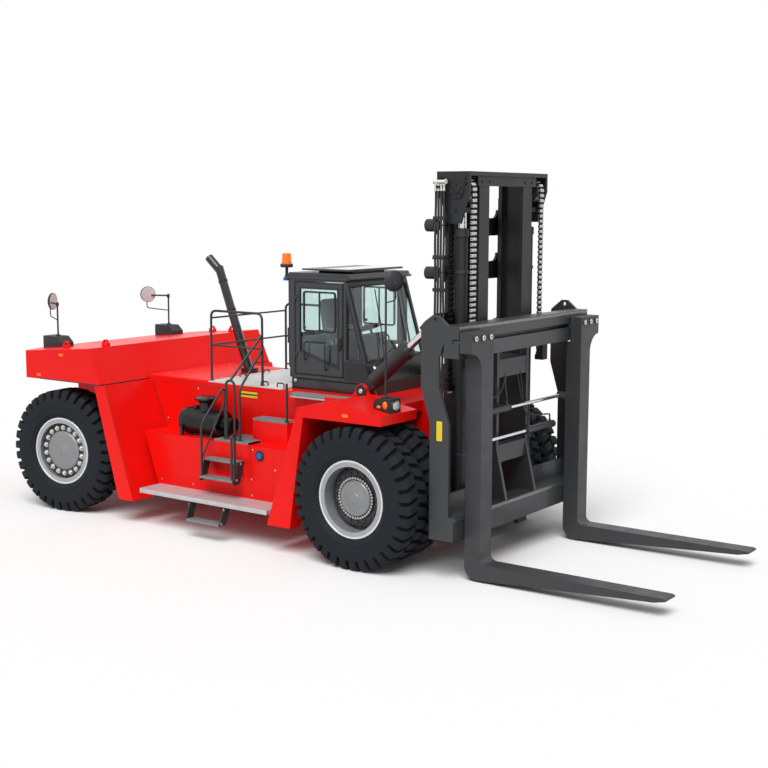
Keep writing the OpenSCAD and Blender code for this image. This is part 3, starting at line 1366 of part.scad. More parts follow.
// Carriage: beams, frame plates with rollers, end plates and chain anchors
module carriage_frame() color("dimgray") place() {
    difference() {
        box(beam_x0, beam_x1, -carriage_hw, carriage_hw, beam_z0, beam_z1);
        box(beam_x1 - groove_d, beam_x1 + over, -carriage_hw - over, carriage_hw + over, groove_z,
            groove_z + groove_h);
    }
    box(low_x0, low_x1, -carriage_hw, carriage_hw, low_z0, low_z1);
    both() {
        box(frame_px, beam_x0 + over, frame_y0, frame_y1, low_z0, frame_pz);
        box(crown_x1 + gap, beam_x0 + over, frame_y0, frame_y1, frame_pz - over, beam_z1);
        for (z = roller_z)
            cyl_y((inner_x0 + inner_x1) * half, z, roller_r, frame_y1 - over, inner_hw - plate_t - gap);
        box(crown_x1 + gap, beam_x0 + over, chain_y - chain_w * half, chain_y + chain_w * half,
            frame_pz - 3 * plate_t, beam_z1 - plate_t);
        box(sheave_x + sheave_r - over, crown_x1 + gap + over, chain_y - chain_w * half,
            chain_y + chain_w * half, frame_pz - 3 * plate_t, frame_pz - plate_t);
        end_plate();
        prism_y([[beam_x0 - over, gusset_z], [low_x1, low_z1 - over], [beam_x0 - over, low_z1 - over]],
            frame_y0, frame_y1);
        box(low_x0, low_x0 + plate_t, frame_y0, carriage_hw, low_z1 - over, low_z1 + tie_h);
    }
    for (z = [low_z1 + tie_h * 2, frame_pz - tie_h])
        box(inner_x1 + gap, beam_x0, -frame_y0 - over, frame_y0 + over, z, z + tie_h);
}

// Curved end plate of the carriage with an eye in its peak
module end_plate() difference() {
    x = (end_x0 + end_x3) * half;
    prism_y([[end_x0, end_z2], [x - end_t, end_z3], [x + end_t, end_z3], [end_x3, end_z2], [end_x1, beam_z0],
        [end_x1, end_z1], [end_x3, end_z0], [end_x3, low_z0], [end_x2, low_z0], [end_x2, end_z0],
        [end_x0, end_z1]], carriage_hw - end_t, carriage_hw);
    cyl_y(x, end_z3 - 2 * lug_r, lug_r, carriage_hw - 2 * end_t, carriage_hw + end_t);
}

// Positioner cylinder barrels, one pulling each fork
module positioner_barrels() color("dimgray") place() {
    positioner(right, pos_z1);
    positioner(left, pos_z0);
}

module positioner(s, z) side(s) {
    difference() {
        union() {
            cyl_y(pos_x, z, pos_r, pos_in, pos_out);
            box(beam_x0 + over, pos_x, frame_y0, frame_y1, z - pos_r, z + pos_r);
        }
        cyl_y(pos_x, z, pos_rod_r + rod_fit, pos_in - over, pos_out - plate_t * half);
    }
}

// Fork with its hook head, drawn on the left
module fork(z) {
    y0 = fork_y - fork_w * half;
    y1 = y0 + fork_w;
    difference() {
        prism_y([[beam_x1 + gap, head_z0 + over], [beam_x1 + gap, beam_z0 - 2 * gap],
            [shank_x0, beam_z0 - 2 * gap], [shank_x0, blade_z0], [shank_x0 + heel_r, blade_z0],
            [blade_x1, blade_mid_z],
            [tip_x - tip_bevel, blade_z1 - tip_t * 2], [tip_x, blade_z1 - tip_t], [tip_x, blade_z1 - tip_t / 3],
            [tip_x - tip_t, blade_z1], [shank_x1, blade_z1], [shank_x1, head_z0 + over]], y0, y1);
        fillet_y(shank_x0, blade_z0, 1, 1, heel_r, y0 - over, y1 + over);
    }
    fillet_y(shank_x1, blade_z1, 1, 1, heel_r * half, y0, y1);
    fillet_x(y1, head_z0, 1, -1, head_w - fork_w, beam_x1 + gap, shank_x1);
    box(beam_x1 + gap, shank_x1, y0, y0 + head_w, head_z0, head_z1);
    for (k = [1, 3, 5])
        cyl_x(y0 + head_w * k / 6, head_z1 - 2 * disc_r, disc_r, shank_x1 - over, shank_x1 + sheet_t);
    box(beam_x1 - groove_d + gap, beam_x1 + gap + over, y0, y0 + head_w, groove_z + rod_fit,
        groove_z + groove_h - gap);
    box(pos_x - pos_r, shank_x0 + over, y0, y0 + plate_t * 2, z - pos_r, z + pos_r);
}

module fork_rod(s, z) side(s)
    cyl_y(pos_x, z, pos_rod_r, -pos_rod_in, fork_y - fork_w * half);

chassis_frame();
counterweight();
rear_arches();
front_fenders();
deck_plates();
running_boards();
boarding_steps();
handrails();
air_cleaner();
exhaust_stack();
lamp_boxes();
mirrors();
lifting_lugs();
drive_axle();
steer_axle();
tilt_brackets();
cab_base();
cab_shell();
cab_roof();
cab_glass();
cab_seat();
cab_console();
beacon();
engine_hatch();
color("black") place() side(right) door();  // door_right
color("black") place() side(left) door();  // door_left
color("lightblue") place() side(right) door_glass();  // door_glass_right
color("lightblue") place() side(left) door_glass();  // door_glass_left
color("dimgray") place() steered(right) knuckle();  // knuckle_right
color("dimgray") place() steered(left) knuckle();  // knuckle_left
color("silver") place() steered(right) rear_rim();  // rear_rim_right
color("silver") place() steered(left) rear_rim();  // rear_rim_left
color("black") place() steered(right) tyre(kingpin_off);  // rear_tyre_right
color("black") place() steered(left) tyre(kingpin_off);  // rear_tyre_left
color("silver") place() translate([wheelbase, 0, 0]) side(right) front_rim();  // front_rim_right
color("silver") place() translate([wheelbase, 0, 0]) side(left) front_rim();  // front_rim_left
color("black") place() translate([wheelbase, 0, 0]) side(right) {  // front_tyres_right
        tyre(front_inner_y);
        tyre(front_outer_y);
    }
color("black") place() translate([wheelbase, 0, 0]) side(left) {  // front_tyres_left
        tyre(front_inner_y);
        tyre(front_outer_y);
    }
mast_outer();
lift_barrels();
mast_hoses();
work_lamps();
color("black") place() side(right) tilt_barrel();  // tilt_barrel_right
color("black") place() side(left) tilt_barrel();  // tilt_barrel_left
color("silver") place() side(right) tilt_rod();  // tilt_rod_right
color("silver") place() side(left) tilt_rod();  // tilt_rod_left
mast_inner();
lift_rods();
chain_sheaves();
lift_chains();
chain_tails();
carriage_frame();
positioner_barrels();
color("dimgray") place() side(right) fork(pos_z0);  // fork_right
color("dimgray") place() side(left) fork(pos_z1);  // fork_left
color("silver") place() fork_rod(right, pos_z0);  // fork_rod_right
color("silver") place() fork_rod(left, pos_z1);  // fork_rod_left
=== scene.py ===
"""Looks of a heavy forklift: a finish for every solid, and the pieces that the solids leave out.

Lengths are metres, measured from the rear axle's middle on the ground, x towards the fork tips.
The row's frame has its origin MID_X ahead of that, and piece() makes the shift.
"""
import math

import bmesh
import bpy
import numpy as np
from mathutils import Matrix, Vector


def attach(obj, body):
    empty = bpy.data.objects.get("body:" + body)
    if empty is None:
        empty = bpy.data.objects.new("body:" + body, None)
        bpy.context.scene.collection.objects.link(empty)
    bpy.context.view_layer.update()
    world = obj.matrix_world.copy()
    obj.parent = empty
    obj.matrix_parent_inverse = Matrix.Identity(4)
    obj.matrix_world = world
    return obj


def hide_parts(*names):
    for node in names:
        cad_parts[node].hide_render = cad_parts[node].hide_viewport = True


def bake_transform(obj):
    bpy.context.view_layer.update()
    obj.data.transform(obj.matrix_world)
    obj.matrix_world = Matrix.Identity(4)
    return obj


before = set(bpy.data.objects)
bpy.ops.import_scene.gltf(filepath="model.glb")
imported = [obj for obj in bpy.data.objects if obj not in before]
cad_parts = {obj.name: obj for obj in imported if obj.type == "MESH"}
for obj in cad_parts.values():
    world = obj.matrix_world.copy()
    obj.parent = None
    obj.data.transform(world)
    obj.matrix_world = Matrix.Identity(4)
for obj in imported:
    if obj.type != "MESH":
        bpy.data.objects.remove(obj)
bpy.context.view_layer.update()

bl_info = {
    "name": "Heavy forklift looks",
    "version": (1, 0, 0),
    "blender": (4, 5, 0),
    "location": "View3D > Sidebar > Forklift",
    "description": "Finishes and detail pieces of a heavy forklift",
    "category": "Object",
}

TAU = 2 * math.pi
ALONG, ACROSS, UP = (1, 0, 0), (0, 1, 0), (0, 0, 1)
# The row's origin, ahead of the rear axle
MID_X = 4.745
# Each side of the machine: +1 is left, -1 is right
SIDES = {"left": 1, "right": -1}

# Wheels
WHEELBASE = 6.2
TYRE_R = 1.03
RIM_HW = 0.215
FRONT_TYRES_Y = (1.305, 1.925)
KINGPIN_Y = 1.71
REAR_TYRE_OFF = 0.15
STEER_REST = math.radians(8)

# Hull and deck
DECK_TOP = 2.304
# Behind this the deck is red
DECK_SPLIT = 2.43
HULL_HW = 1.0
TANK_TOP = 1.46

# Cab
CAB_X0, CAB_X1, CAB_X2 = 3.99, 5.09, 5.56
CAB_HW = 0.8
CAB_Z0, CAB_Z1 = 2.47, 4.02
DOOR_X = (4.1, 5.04)
SEAT_X, SEAT_W = 4.48, 0.52

# Mast and carriage
SHEAVE_X, SHEAVE_Z, SHEAVE_R = 7.265, 5.35, 0.165
CHAIN_Y, CHAIN_T = 0.95, 0.04
CHAIN_FOOT = 2.91
ANCHOR_Z = 2.6
HEAD_DISCS, HEAD_DISC_Z = (1.375, 1.565, 1.755), 3.39
LIFT_X, LIFT_Y, LIFT_R = 7.24, 0.912, 0.088
TILT_PIN = np.array([5.65, 1.05, 2.42])
TILT_EYE = np.array([6.79, 1.05, 3.42])
HOSE_X, HOSE_Y, HOSE_PITCH = 6.96, -1.172, 0.046
HOSE_TOP = 5.45
MAST_LAMP_Y, MAST_LAMPS_Z = 0.995, (4.2, 4.87)
# Rods that push the forks apart: height of the barrel on each side
ROD_X, ROD_Z = 7.65, {-1: 2.25, 1: 1.84}

# Fittings
BEACON_X, BEACON_Y = 3.9, -0.755
HEADLAMP = (6.656, 1.7, 2.362)
TAIL_LAMPS_Y, TAIL_LAMP_Z = (1.285, 1.415), 2.76
FILLER = (4.022, -1.57, 1.321)
CLEANER_Y, CLEANER_Z = -1.29, 1.68
EXHAUST_FOOT = np.array([2.24, 0.22, DECK_TOP])
EXHAUST_BEND = np.array([1.56, 0.22, 4.08])

# Camera fitted to the photograph, in the row's frame
CAMERA_AT, CAMERA_AIM, CAMERA_ROLL = (12.595, -16.79, 5.20), (0.491, 0.0, 2.366), math.radians(0.16)
SENSOR_MM, LENS_MM = 36.0, 62.43
# Lamps: where each sun stands, the angle that it fills and its strength
SUNS = {"key": ((3.0, -6.0, 9.0), 40.0, 3.0), "fill": ((6.0, 2.0, 4.0), 60.0, 0.2)}
# Strength of the white surround on what isn't looked at directly
SURROUND = 0.34
# Half width of the floor, and where it starts and ends to thin out
FLOOR_HW, FLOOR_FADE = 60.0, (8.0, 16.0)


# Shapes: each is a pair of points (n, 3) and a list of face arrays

def grid(points, close_u=False, close_v=False):
    """Surface through a (u, v) array of points: every four neighbours make a face."""
    nu, nv = points.shape[:2]
    u, v = np.meshgrid(np.arange(nu if close_u else nu - 1), np.arange(nv if close_v else nv - 1),
                       indexing="ij")
    u1, v1 = (u + 1) % nu, (v + 1) % nv
    faces = np.stack([u * nv + v, u1 * nv + v, u1 * nv + v1, u * nv + v1], -1)
    return points.reshape(-1, 3), [faces.reshape(-1, 4)]


def joined(shapes):
    """One shape from many: each one's faces move on by the points before it."""
    start = np.cumsum([0] + [len(points) for points, _ in shapes])
    faces = [group + s for s, (_, groups) in zip(start, shapes) for group in groups]
    return np.concatenate([points for points, _ in shapes]), faces


def arrayed(shape, shifts):
    """Copies of a shape, one moved by each row of shifts."""
    points, groups = shape
    shifts = np.asarray(shifts, float).reshape(-1, 3)
    step = np.arange(len(shifts)) * len(points)
    faces = [(group[None] + step[:, None, None]).reshape(-1, group.shape[1]) for group in groups]
    return (points[None] + shifts[:, None]).reshape(-1, 3), faces


def placed(shape, place, scale=(1, 1, 1)):
    """A shape drawn about the origin, scaled and moved to its place."""
    points, groups = shape
    return points * scale + place, groups


def mirrored(shape):
    """The same shape on the other side: y changes its sign."""
    points, groups = shape
    return points * (1, -1, 1), groups


def both(*shapes):
    """Every shape with its mirror image."""
    return joined([half for shape in shapes for half in (shape, mirrored(shape))])


def on_side(side, shapes):
    """Shapes drawn for the left, on the side that is asked for."""
    return shapes if side > 0 else [mirrored(shape) for shape in shapes]


def axes_of(axis):
    """Three unit vectors at right angles, the last along axis."""
    w = np.asarray(axis, float) / np.linalg.norm(axis)
    u = np.cross(w, np.eye(3)[np.argmin(np.abs(w))])
    u /= np.linalg.norm(u)
    return u, np.cross(w, u), w


def lathe(profile, foot, axis, steps=40):
    """Profile of (radius, height) turned round axis: foot + r (cos a u + sin a v) + h w.

    A profile that leaves the axis at both ends is joined to a loop, and at one end it is led straight back.
    """
    profile = np.asarray(profile, float)
    first, last = profile[0, 0] > 0, profile[-1, 0] > 0
    if first != last:
        profile = np.insert(profile, 0 if first else len(profile), profile[0 if first else -1] * (0, 1),
                            axis=0)
    u, v, w = axes_of(axis)
    a = np.linspace(0, TAU, steps, endpoint=False)[:, None, None]
    r, h = profile.T[:, None, :, None]
    return grid(np.asarray(foot) + r * (np.cos(a) * u + np.sin(a) * v) + h * w, True, first and last)


def hoop(r, rise, width, ease):
    """Profile of a hoop round a cylinder of radius r, its edges eased."""
    return [(r, 0), (r + rise, ease), (r + rise, width - ease), (r, width)]


def disc(foot, axis, r, h, ease=0.004, steps=40):
    """Turned disc with eased rims: the profile runs from the axis out, up and back to the axis."""
    profile = [(0, 0), (r - ease, 0), (r, ease), (r, h - ease), (r - ease, h), (0, h)]
    return lathe(profile, foot, axis, steps)


def bent(corners, radius, steps=6):
    """Path with rounded corners: at each one a parabola (1-s)^2 a + 2s(1-s) c + s^2 b cuts it off."""
    p = np.asarray(corners, float)
    if len(p) < 3:
        return p
    back, ahead = p[:-2] - p[1:-1], p[2:] - p[1:-1]
    lb, la = np.linalg.norm(back, axis=1), np.linalg.norm(ahead, axis=1)
    cut = np.minimum(radius, 0.49 * np.minimum(lb, la))[:, None]
    a, b = p[1:-1] + back / lb[:, None] * cut, p[1:-1] + ahead / la[:, None] * cut
    s = np.linspace(0, 1, steps + 1)[None, :, None]
    arcs = (1 - s) ** 2 * a[:, None] + 2 * s * (1 - s) * p[1:-1, None] + s ** 2 * b[:, None]
    return np.concatenate([p[:1], arcs.reshape(-1, 3), p[-1:]])


def tube(path, radius, sides=12):
    """Circle carried along a path: p + r (cos a n + sin a b), closed to a point at both ends."""
    p = np.asarray(path, float)
    t = np.gradient(p, axis=0)
    t /= np.linalg.norm(t, axis=1)[:, None]
    level = np.linalg.svd(t)[2][-1]
    n = level - (t @ level)[:, None] * t
    n /= np.linalg.norm(n, axis=1)[:, None]
    b = np.cross(t, n)
    a = np.linspace(0, TAU, sides, endpoint=False)[None, :, None]
    r = np.broadcast_to(np.asarray(radius, float).reshape(-1, 1, 1), (len(p), 1, 1))
    rings = p[:, None] + r * (np.cos(a) * n[:, None] + np.sin(a) * b[:, None])
    ends = [np.broadcast_to(p[i], (1, sides, 3)) for i in (0, -1)]
    return grid(np.concatenate([ends[0], rings, ends[1]]), False, True)


def staple(first, last, height, corner, r):
    """Handle on the deck: a tube up from the first place, across and down to the last."""
    feet, tops = [[(*place, DECK_TOP + z) for place in (first, last)] for z in (0, height)]
    return tube(bent([feet[0], tops[0], tops[1], feet[1]], corner, 5), r, 10)


def inset(outline, d):
    """Outline moved inwards by d: each corner slides along its mitre."""
    p = np.asarray(outline, float)
    edge = np.roll(p, -1, 0) - p
    edge /= np.linalg.norm(edge, axis=1)[:, None]
    turn = np.sign(np.sum(p[:, 0] * np.roll(p[:, 1], -1) - np.roll(p[:, 0], -1) * p[:, 1]))
    inward = np.stack([-edge[:, 1], edge[:, 0]], 1) * turn
    before = np.roll(inward, 1, 0)
    mitre = inward + before
    return p + d * mitre / (1 + np.sum(inward * before, 1))[:, None]


def slab(outline, lo, hi, axis="y", ease=0.004):
    """Flat outline carried from lo to hi along an axis, its two rims eased."""
    flat, small = np.asarray(outline, float), inset(outline, ease)
    rings = np.stack([small, flat, flat, small])
    height = np.array([lo, lo + ease, hi - ease, hi])[:, None, None] + np.zeros((4, len(flat), 1))
    order = {"x": (2, 0, 1), "y": (0, 2, 1), "z": (0, 1, 2)}[axis]
    points, faces = grid(np.concatenate([rings, height], -1)[..., order], False, True)
    n = len(flat)
    return points, faces + [np.arange(n)[None, ::-1], np.arange(3 * n, 4 * n)[None]]


def rounded(x0, x1, y0, y1, r, steps=4):
    """Rectangle with round corners: a quarter circle about each one's centre, with some straight between."""
    r = min(r, 0.49 * (x1 - x0), 0.49 * (y1 - y0))
    a = np.linspace(0, TAU / 4, steps + 1)[None, :] + np.arange(4)[:, None] * TAU / 4
    cx = np.array([x1 - r, x0 + r, x0 + r, x1 - r])[:, None]
    cy = np.array([y1 - r, y1 - r, y0 + r, y0 + r])[:, None]
    return np.stack([cx + r * np.cos(a), cy + r * np.sin(a)], -1).reshape(-1, 2)


def block(lo, hi, r=0.01, axis="y", ease=0.004):
    """Box with round edges along one axis and eased rims on the other two."""
    (x0, y0, z0), (x1, y1, z1) = lo, hi
    spans = {"x": ((y0, y1, z0, z1), x0, x1), "y": ((x0, x1, z0, z1), y0, y1),
             "z": ((x0, x1, y0, y1), z0, z1)}
    sides, low, high = spans[axis]
    return slab(rounded(*sides, r), low, high, axis, ease)


def bolts(places, axis, r, h):
    """Hexagon heads on round washers, one at each place, standing along axis."""
    washer = lathe([(0, 0), (1.5 * r, 0), (1.5 * r, 0.2 * h), (0, 0.2 * h)], (0, 0, 0), axis, 12)
    head = lathe([(0, 0.2 * h), (r, 0.2 * h), (r, 0.85 * h), (0.85 * r, h), (0, h)], (0, 0, 0), axis, 6)
    return arrayed(joined([washer, head]), places)


def ring_of(centre, axis, r, count, phase=0.0):
    """Places evenly round a circle."""
    u, v, _ = axes_of(axis)
    a = (np.arange(count)[:, None] / count + phase) * TAU
    return np.asarray(centre) + r * (np.cos(a) * u + np.sin(a) * v)


def steered(shape, side):
    """From the wheel's own frame, with y outwards from the kingpin, to its place on the steer axle."""
    points, groups = shape
    p = points * (1, side, 1)
    c, s = math.cos(STEER_REST), math.sin(STEER_REST)
    turned = np.stack([c * p[:, 0] - s * p[:, 1], s * p[:, 0] + c * p[:, 1] + side * KINGPIN_Y, p[:, 2]], 1)
    return turned, groups


def driven(shape, side):
    """From the wheel's own frame, with y outwards from the middle, to its place on the drive axle."""
    points, groups = shape
    return points * (1, side, 1) + (WHEELBASE, 0, 0), groups


def piece(name, shapes, finish, body="chassis", stands_for=(), crease=32):
    """Joins shapes into one mesh in the row's frame, poles closed and faces out, and gives it to the body
    that is named; a body given as anything but a name is not used, and the mesh stays loose in the row's
    frame.
    """
    points, groups = joined(shapes)
    mesh = bpy.data.meshes.new(name)
    mesh.from_pydata(points - (MID_X, 0, 0), [], [face for group in groups for face in group.tolist()])
    work = bmesh.new()
    work.from_mesh(mesh)
    bmesh.ops.remove_doubles(work, verts=work.verts, dist=1e-6)
    bmesh.ops.recalc_face_normals(work, faces=work.faces)
    work.to_mesh(mesh)
    work.free()
    mesh.shade_smooth()
    mesh.set_sharp_from_angle(angle=math.radians(crease))
    mesh.materials.append(FINISH[finish])
    obj = bpy.data.objects.new(name, mesh)
    bpy.context.scene.collection.objects.link(obj)
    if isinstance(body, str):
        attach(obj, body)
    else:
        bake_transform(obj)
    if stands_for:
        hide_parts(*stands_for)
    return obj


# Finishes

# Colour sockets of the Mix node
MIX_A, MIX_B, MIX_OUT = 6, 7, 2


def linear(hex_code):
    """sRGB hex to linear red, green, blue and alpha."""
    c = np.array([int(hex_code[i:i + 2], 16) for i in (1, 3, 5)]) / 255
    return (*np.where(c <= 0.04045, c / 12.92, ((c + 0.055) / 1.055) ** 2.4).tolist(), 1.0)


def per_mm(size):
    """Texture scale at which one period is that many millimetres, on coordinates in metres."""
    return 1000 / size


def add(tree, kind, inputs=None, **settings):
    """Adds a node: settings are its own, and inputs maps a socket to a value or to another node's output."""
    new = tree.nodes.new(kind)
    for key, value in settings.items():
        setattr(new, key, value)
    for key, value in (inputs or {}).items():
        if isinstance(value, bpy.types.NodeSocket):
            tree.links.new(value, new.inputs[key])
        else:
            new.inputs[key].default_value = value
    return new


def noise(tree, place, size_mm, detail):
    """Noise with patches of about that size."""
    inputs = {"Vector": place, "Scale": per_mm(size_mm), "Detail": detail}
    return add(tree, "ShaderNodeTexNoise", inputs).outputs["Fac"]


def wave(tree, place, period_mm, direction):
    """Sine bands across a direction: the node draws sin(20 scale x), so the scale is 2 pi / 20 per period."""
    return add(tree, "ShaderNodeTexWave", {"Vector": place, "Scale": per_mm(period_mm) * TAU / 20},
               bands_direction=direction).outputs["Fac"]


def reckon(tree, operation, a, b):
    """Sum, product or the like of two values."""
    return add(tree, "ShaderNodeMath", {0: a, 1: b}, operation=operation).outputs["Value"]


def ranged(tree, value, given, wanted, **settings):
    """Value led from the given span to the wanted one."""
    spans = {"From Min": given[0], "From Max": given[1], "To Min": wanted[0], "To Max": wanted[1]}
    return add(tree, "ShaderNodeMapRange", {"Value": value, **spans}, **settings).outputs["Result"]


def blended(tree, factor, first, last):
    """Colour between two others."""
    inputs = {"Factor": factor, MIX_A: first, MIX_B: last}
    return add(tree, "ShaderNodeMix", inputs, data_type="RGBA").outputs[MIX_OUT]


def emboss(tree, shader, height, strength, distance):
    """Bends the light on a finish as if its surface had that height."""
    raised = add(tree, "ShaderNodeBump", {"Height": height, "Strength": strength, "Distance": distance})
    tree.links.new(raised.outputs["Normal"], shader.inputs["Normal"])


def start(name, **sockets):
    """New material with constant sockets set; returns it, its tree, its shader and Object coordinates."""
    made = bpy.data.materials.new(name)
    made.use_nodes = True
    tree = made.node_tree
    shader = tree.nodes["Principled BSDF"]
    for key, value in sockets.items():
        shader.inputs[key.replace("_", " ")].default_value = value
    place = add(tree, "ShaderNodeTexCoord").outputs["Object"]
    return made, tree, shader, place


def mottle(made, pair, patch_mm, rough, bump_mm=None, bump=0.1, edge_mm=0):
    """Colour and roughness wander over patches, and a fine grain and eased edges bend the light."""
    material, tree, shader, place = made
    fac = noise(tree, place, patch_mm, 4.0)
    tint = blended(tree, fac, linear(pair[0]), linear(pair[1]))
    tree.links.new(tint, shader.inputs["Base Color"])
    tree.links.new(ranged(tree, fac, (0.3, 0.7), rough), shader.inputs["Roughness"])
    normal = None
    if edge_mm:
        normal = add(tree, "ShaderNodeBevel", {"Radius": edge_mm / 1000}, samples=4).outputs["Normal"]
    if bump_mm:
        grain = noise(tree, place, bump_mm, 2.0)
        inputs = {"Height": grain, "Strength": bump, "Distance": bump_mm / 4000}
        if normal:
            inputs["Normal"] = normal
        normal = add(tree, "ShaderNodeBump", inputs).outputs["Normal"]
    if normal:
        tree.links.new(normal, shader.inputs["Normal"])
    return material


def finish(name, pair, patch_mm, rough, bump_mm=None, bump=0.1, edge_mm=0, **sockets):
    """New mottled material with its shader's constant sockets set."""
    return mottle(start(name, **sockets), pair, patch_mm, rough, bump_mm, bump, edge_mm)


def make_finishes(paint):
    """All finishes by name, from the colours that the panel holds."""
    made = {}
    # Sprayed enamel: a wet even gloss with a faint orange peel, drawn at 25 mm so that it shows
    made["enamel_red"] = finish("Enamel_red", (paint.hull, paint.hull_deep), patch_mm=1400,
                                rough=(0.26, 0.36), bump_mm=25, bump=0.04, edge_mm=9, Specular_IOR_Level=0.18)
    # Chassis enamel on castings and folded plate: half gloss dark grey
    made["enamel_grey"] = finish("Enamel_dark_grey", (paint.mast, paint.mast_deep), patch_mm=700,
            rough=(0.38, 0.5), bump_mm=18, bump=0.06, edge_mm=8, Coat_Weight=0.1)
    # The mast sections: the dark grey enamel of the mast and carriage drawn darker and flatter, deepened with
    # painted shade for the shadow on the mast
    made["enamel_mast"] = finish("Enamel_mast_painted_shade", ("#1D1F20", "#161819"), patch_mm=700, rough=(0.4, 0.52),
            bump_mm=18, bump=0.06, edge_mm=8, Specular_IOR_Level=0.4)
    # Forged steel under thin paint: flatter, with scale that shows as soft patches
    made["forged"] = finish("Forged_steel_painted", (paint.fork, paint.fork_deep), patch_mm=260,
                            rough=(0.42, 0.58), bump_mm=40, bump=0.1, edge_mm=10)
    # Powder coat: fine stipple, drawn at 8 mm so that it shows
    made["powder_black"] = finish("Powder_coat_black", (paint.black, "#2B2C2E"), patch_mm=500,
            rough=(0.4, 0.52), bump_mm=8, bump=0.08, edge_mm=5)
    # Cab panels: smooth dark enamel
    made["cab_enamel"] = finish("Enamel_cab_black", (paint.cab, "#2C2F32"), patch_mm=900, rough=(0.34, 0.44),
                                bump_mm=20, bump=0.03, edge_mm=6, Coat_Weight=0.2)
    # Moulded ABS: soft leather grain
    made["abs"] = finish("ABS_moulded_black", ("#17181A", "#1F2022"), patch_mm=300, rough=(0.45, 0.6),
                         bump_mm=6, bump=0.15)
    # Vulcanised rubber: matt black with a dusty bloom
    made["rubber"] = finish("Tyre_rubber", (paint.tyre, "#1B2025"), patch_mm=320, rough=(0.72, 0.88),
                            bump_mm=14, bump=0.2, Specular_IOR_Level=0.25)
    # Hydraulic hose: woven cover under a smooth rubber skin
    made["hose"] = finish("Hose_rubber", ("#141517", "#222427"), patch_mm=120, rough=(0.5, 0.62), bump_mm=10,
                          bump=0.25)
    # Wheel paint with aluminium flake: bright, broad highlight
    made["rim_silver"] = finish("Wheel_paint_silver", (paint.rim, "#94969A"), patch_mm=160, rough=(0.3, 0.42),
                                bump_mm=10, bump=0.05, Metallic=0.55)
    # Lock rings, turned and polished
    made["rim_bright"] = finish("Lock_ring_polished", ("#E2E3E4", "#CFD1D3"), patch_mm=120, rough=(0.2, 0.3),
                                bump_mm=8, bump=0.05, Metallic=0.7)
    # Hard chrome on ground steel: near mirror with faint oil film
    made["chrome"] = finish("Hard_chrome", ("#E3E5E6", "#C9CCCE"), patch_mm=180, rough=(0.06, 0.16),
                            Metallic=1.0)
    # Zinc-plated steel: pale, slightly cloudy; on the front strands and the turn of the lift chains it is a
    # painted highlight on oiled chain steel
    made["zinc"] = finish("Zinc_plated_steel", ("#DCDCD8", "#B4B4AE"), patch_mm=60, rough=(0.28, 0.45),
                          bump_mm=6, bump=0.08, Metallic=0.85)
    # Machined steel left oily
    made["steel"] = finish("Machined_steel_oiled", ("#8B8C8C", "#6A6A68"), patch_mm=90, rough=(0.25, 0.42),
                           bump_mm=6, bump=0.08, Metallic=0.9)
    # Chain steel under dark oil
    made["oiled"] = finish("Chain_steel_oiled", ("#262625", "#181818"), patch_mm=60, rough=(0.3, 0.45),
                           bump_mm=6, bump=0.08, Metallic=0.5)
    # Heat-proof paint on bent tube: smooth, with a long highlight
    made["heat_black"] = finish("Heat_paint_black", ("#151414", "#231F1E"), patch_mm=220, rough=(0.2, 0.32),
                                bump_mm=10, bump=0.04, Metallic=0.4, Coat_Weight=0.5)
    # Black stove enamel: deep, wet gloss
    made["gloss_black"] = finish("Stove_enamel_black", ("#0B0B0C", "#111213"), patch_mm=300,
            rough=(0.18, 0.28), bump_mm=14, bump=0.04, edge_mm=6, Specular_IOR_Level=0.45)
    # Cast hub under thin grey paint
    made["cast_grey"] = finish("Casting_painted_grey", ("#8B8D8F", "#7A7C7E"), patch_mm=70, rough=(0.35, 0.5),
                               bump_mm=8, bump=0.15, Metallic=0.35)
    # Cab lining: pressed felt board, pale grey
    made["lining"] = finish("Felt_board_grey", ("#B9BEBE", "#A8ADAD"), patch_mm=90, rough=(0.8, 0.95),
                            bump_mm=8, bump=0.2, Sheen_Weight=0.2)
    # Roof pane with a pale sun film on its inside
    made["filmed_glass"] = finish("Toughened_glass_filmed", ("#A6BFBC", "#93AEAB"), patch_mm=400,
            rough=(0.08, 0.16), Coat_Weight=0.6)
    # Silvered glass of a mirror, hazed by wear; its pale grey colour is a painted reflection of the white
    # surround, over a faint true metal gloss
    made["mirror"] = finish("Silvered_glass_painted_reflection", ("#DADCDD", "#D2D5D7"), patch_mm=200, rough=(0.2, 0.28),
                            Metallic=0.15)
    # Polycarbonate lenses: clear colour with moulded ribs; the amber one also glows faintly, and on the
    # reflectors, which are no lamps, that glow is painted light
    made["amber"] = finish("Polycarbonate_amber", (paint.amber, "#F06A08"), patch_mm=40, rough=(0.1, 0.2),
                           bump_mm=12, bump=0.3, Transmission_Weight=0.25, Emission_Color=linear("#FF7A10"),
                           Emission_Strength=0.25)
    made["red_lens"] = finish("Polycarbonate_red", ("#B8120E", "#8E0B0A"), patch_mm=40, rough=(0.1, 0.2),
                              bump_mm=12, bump=0.3, Transmission_Weight=0.2)
    made["clear_lens"] = finish("Polycarbonate_clear", ("#F2F5F6", "#DDE3E6"), patch_mm=60,
                                rough=(0.05, 0.12), bump_mm=14, bump=0.3, Transmission_Weight=0.3)
    made["blue"] = finish("Polypropylene_blue", ("#1E62B8", "#174C92"), patch_mm=50, rough=(0.35, 0.45),
                          bump_mm=6, bump=0.1)
    # Vinyl film: flat bright colour, slightly scuffed
    made["vinyl_yellow"] = finish("Vinyl_film_yellow", ("#F4D60F", "#E9C70C"), patch_mm=40, rough=(0.35, 0.5))
    made["vinyl_panel"] = finish("Vinyl_film_yellow_printed", ("#E8C60A", "#DDBB08"), patch_mm=30,
            rough=(0.4, 0.55))
    # Turned nylon: white, waxy
    made["nylon"] = finish("Nylon_turned_white", ("#ECECE8", "#DEDEDA"), patch_mm=50, rough=(0.35, 0.5),
                           bump_mm=8, bump=0.06, Subsurface_Weight=0.1)
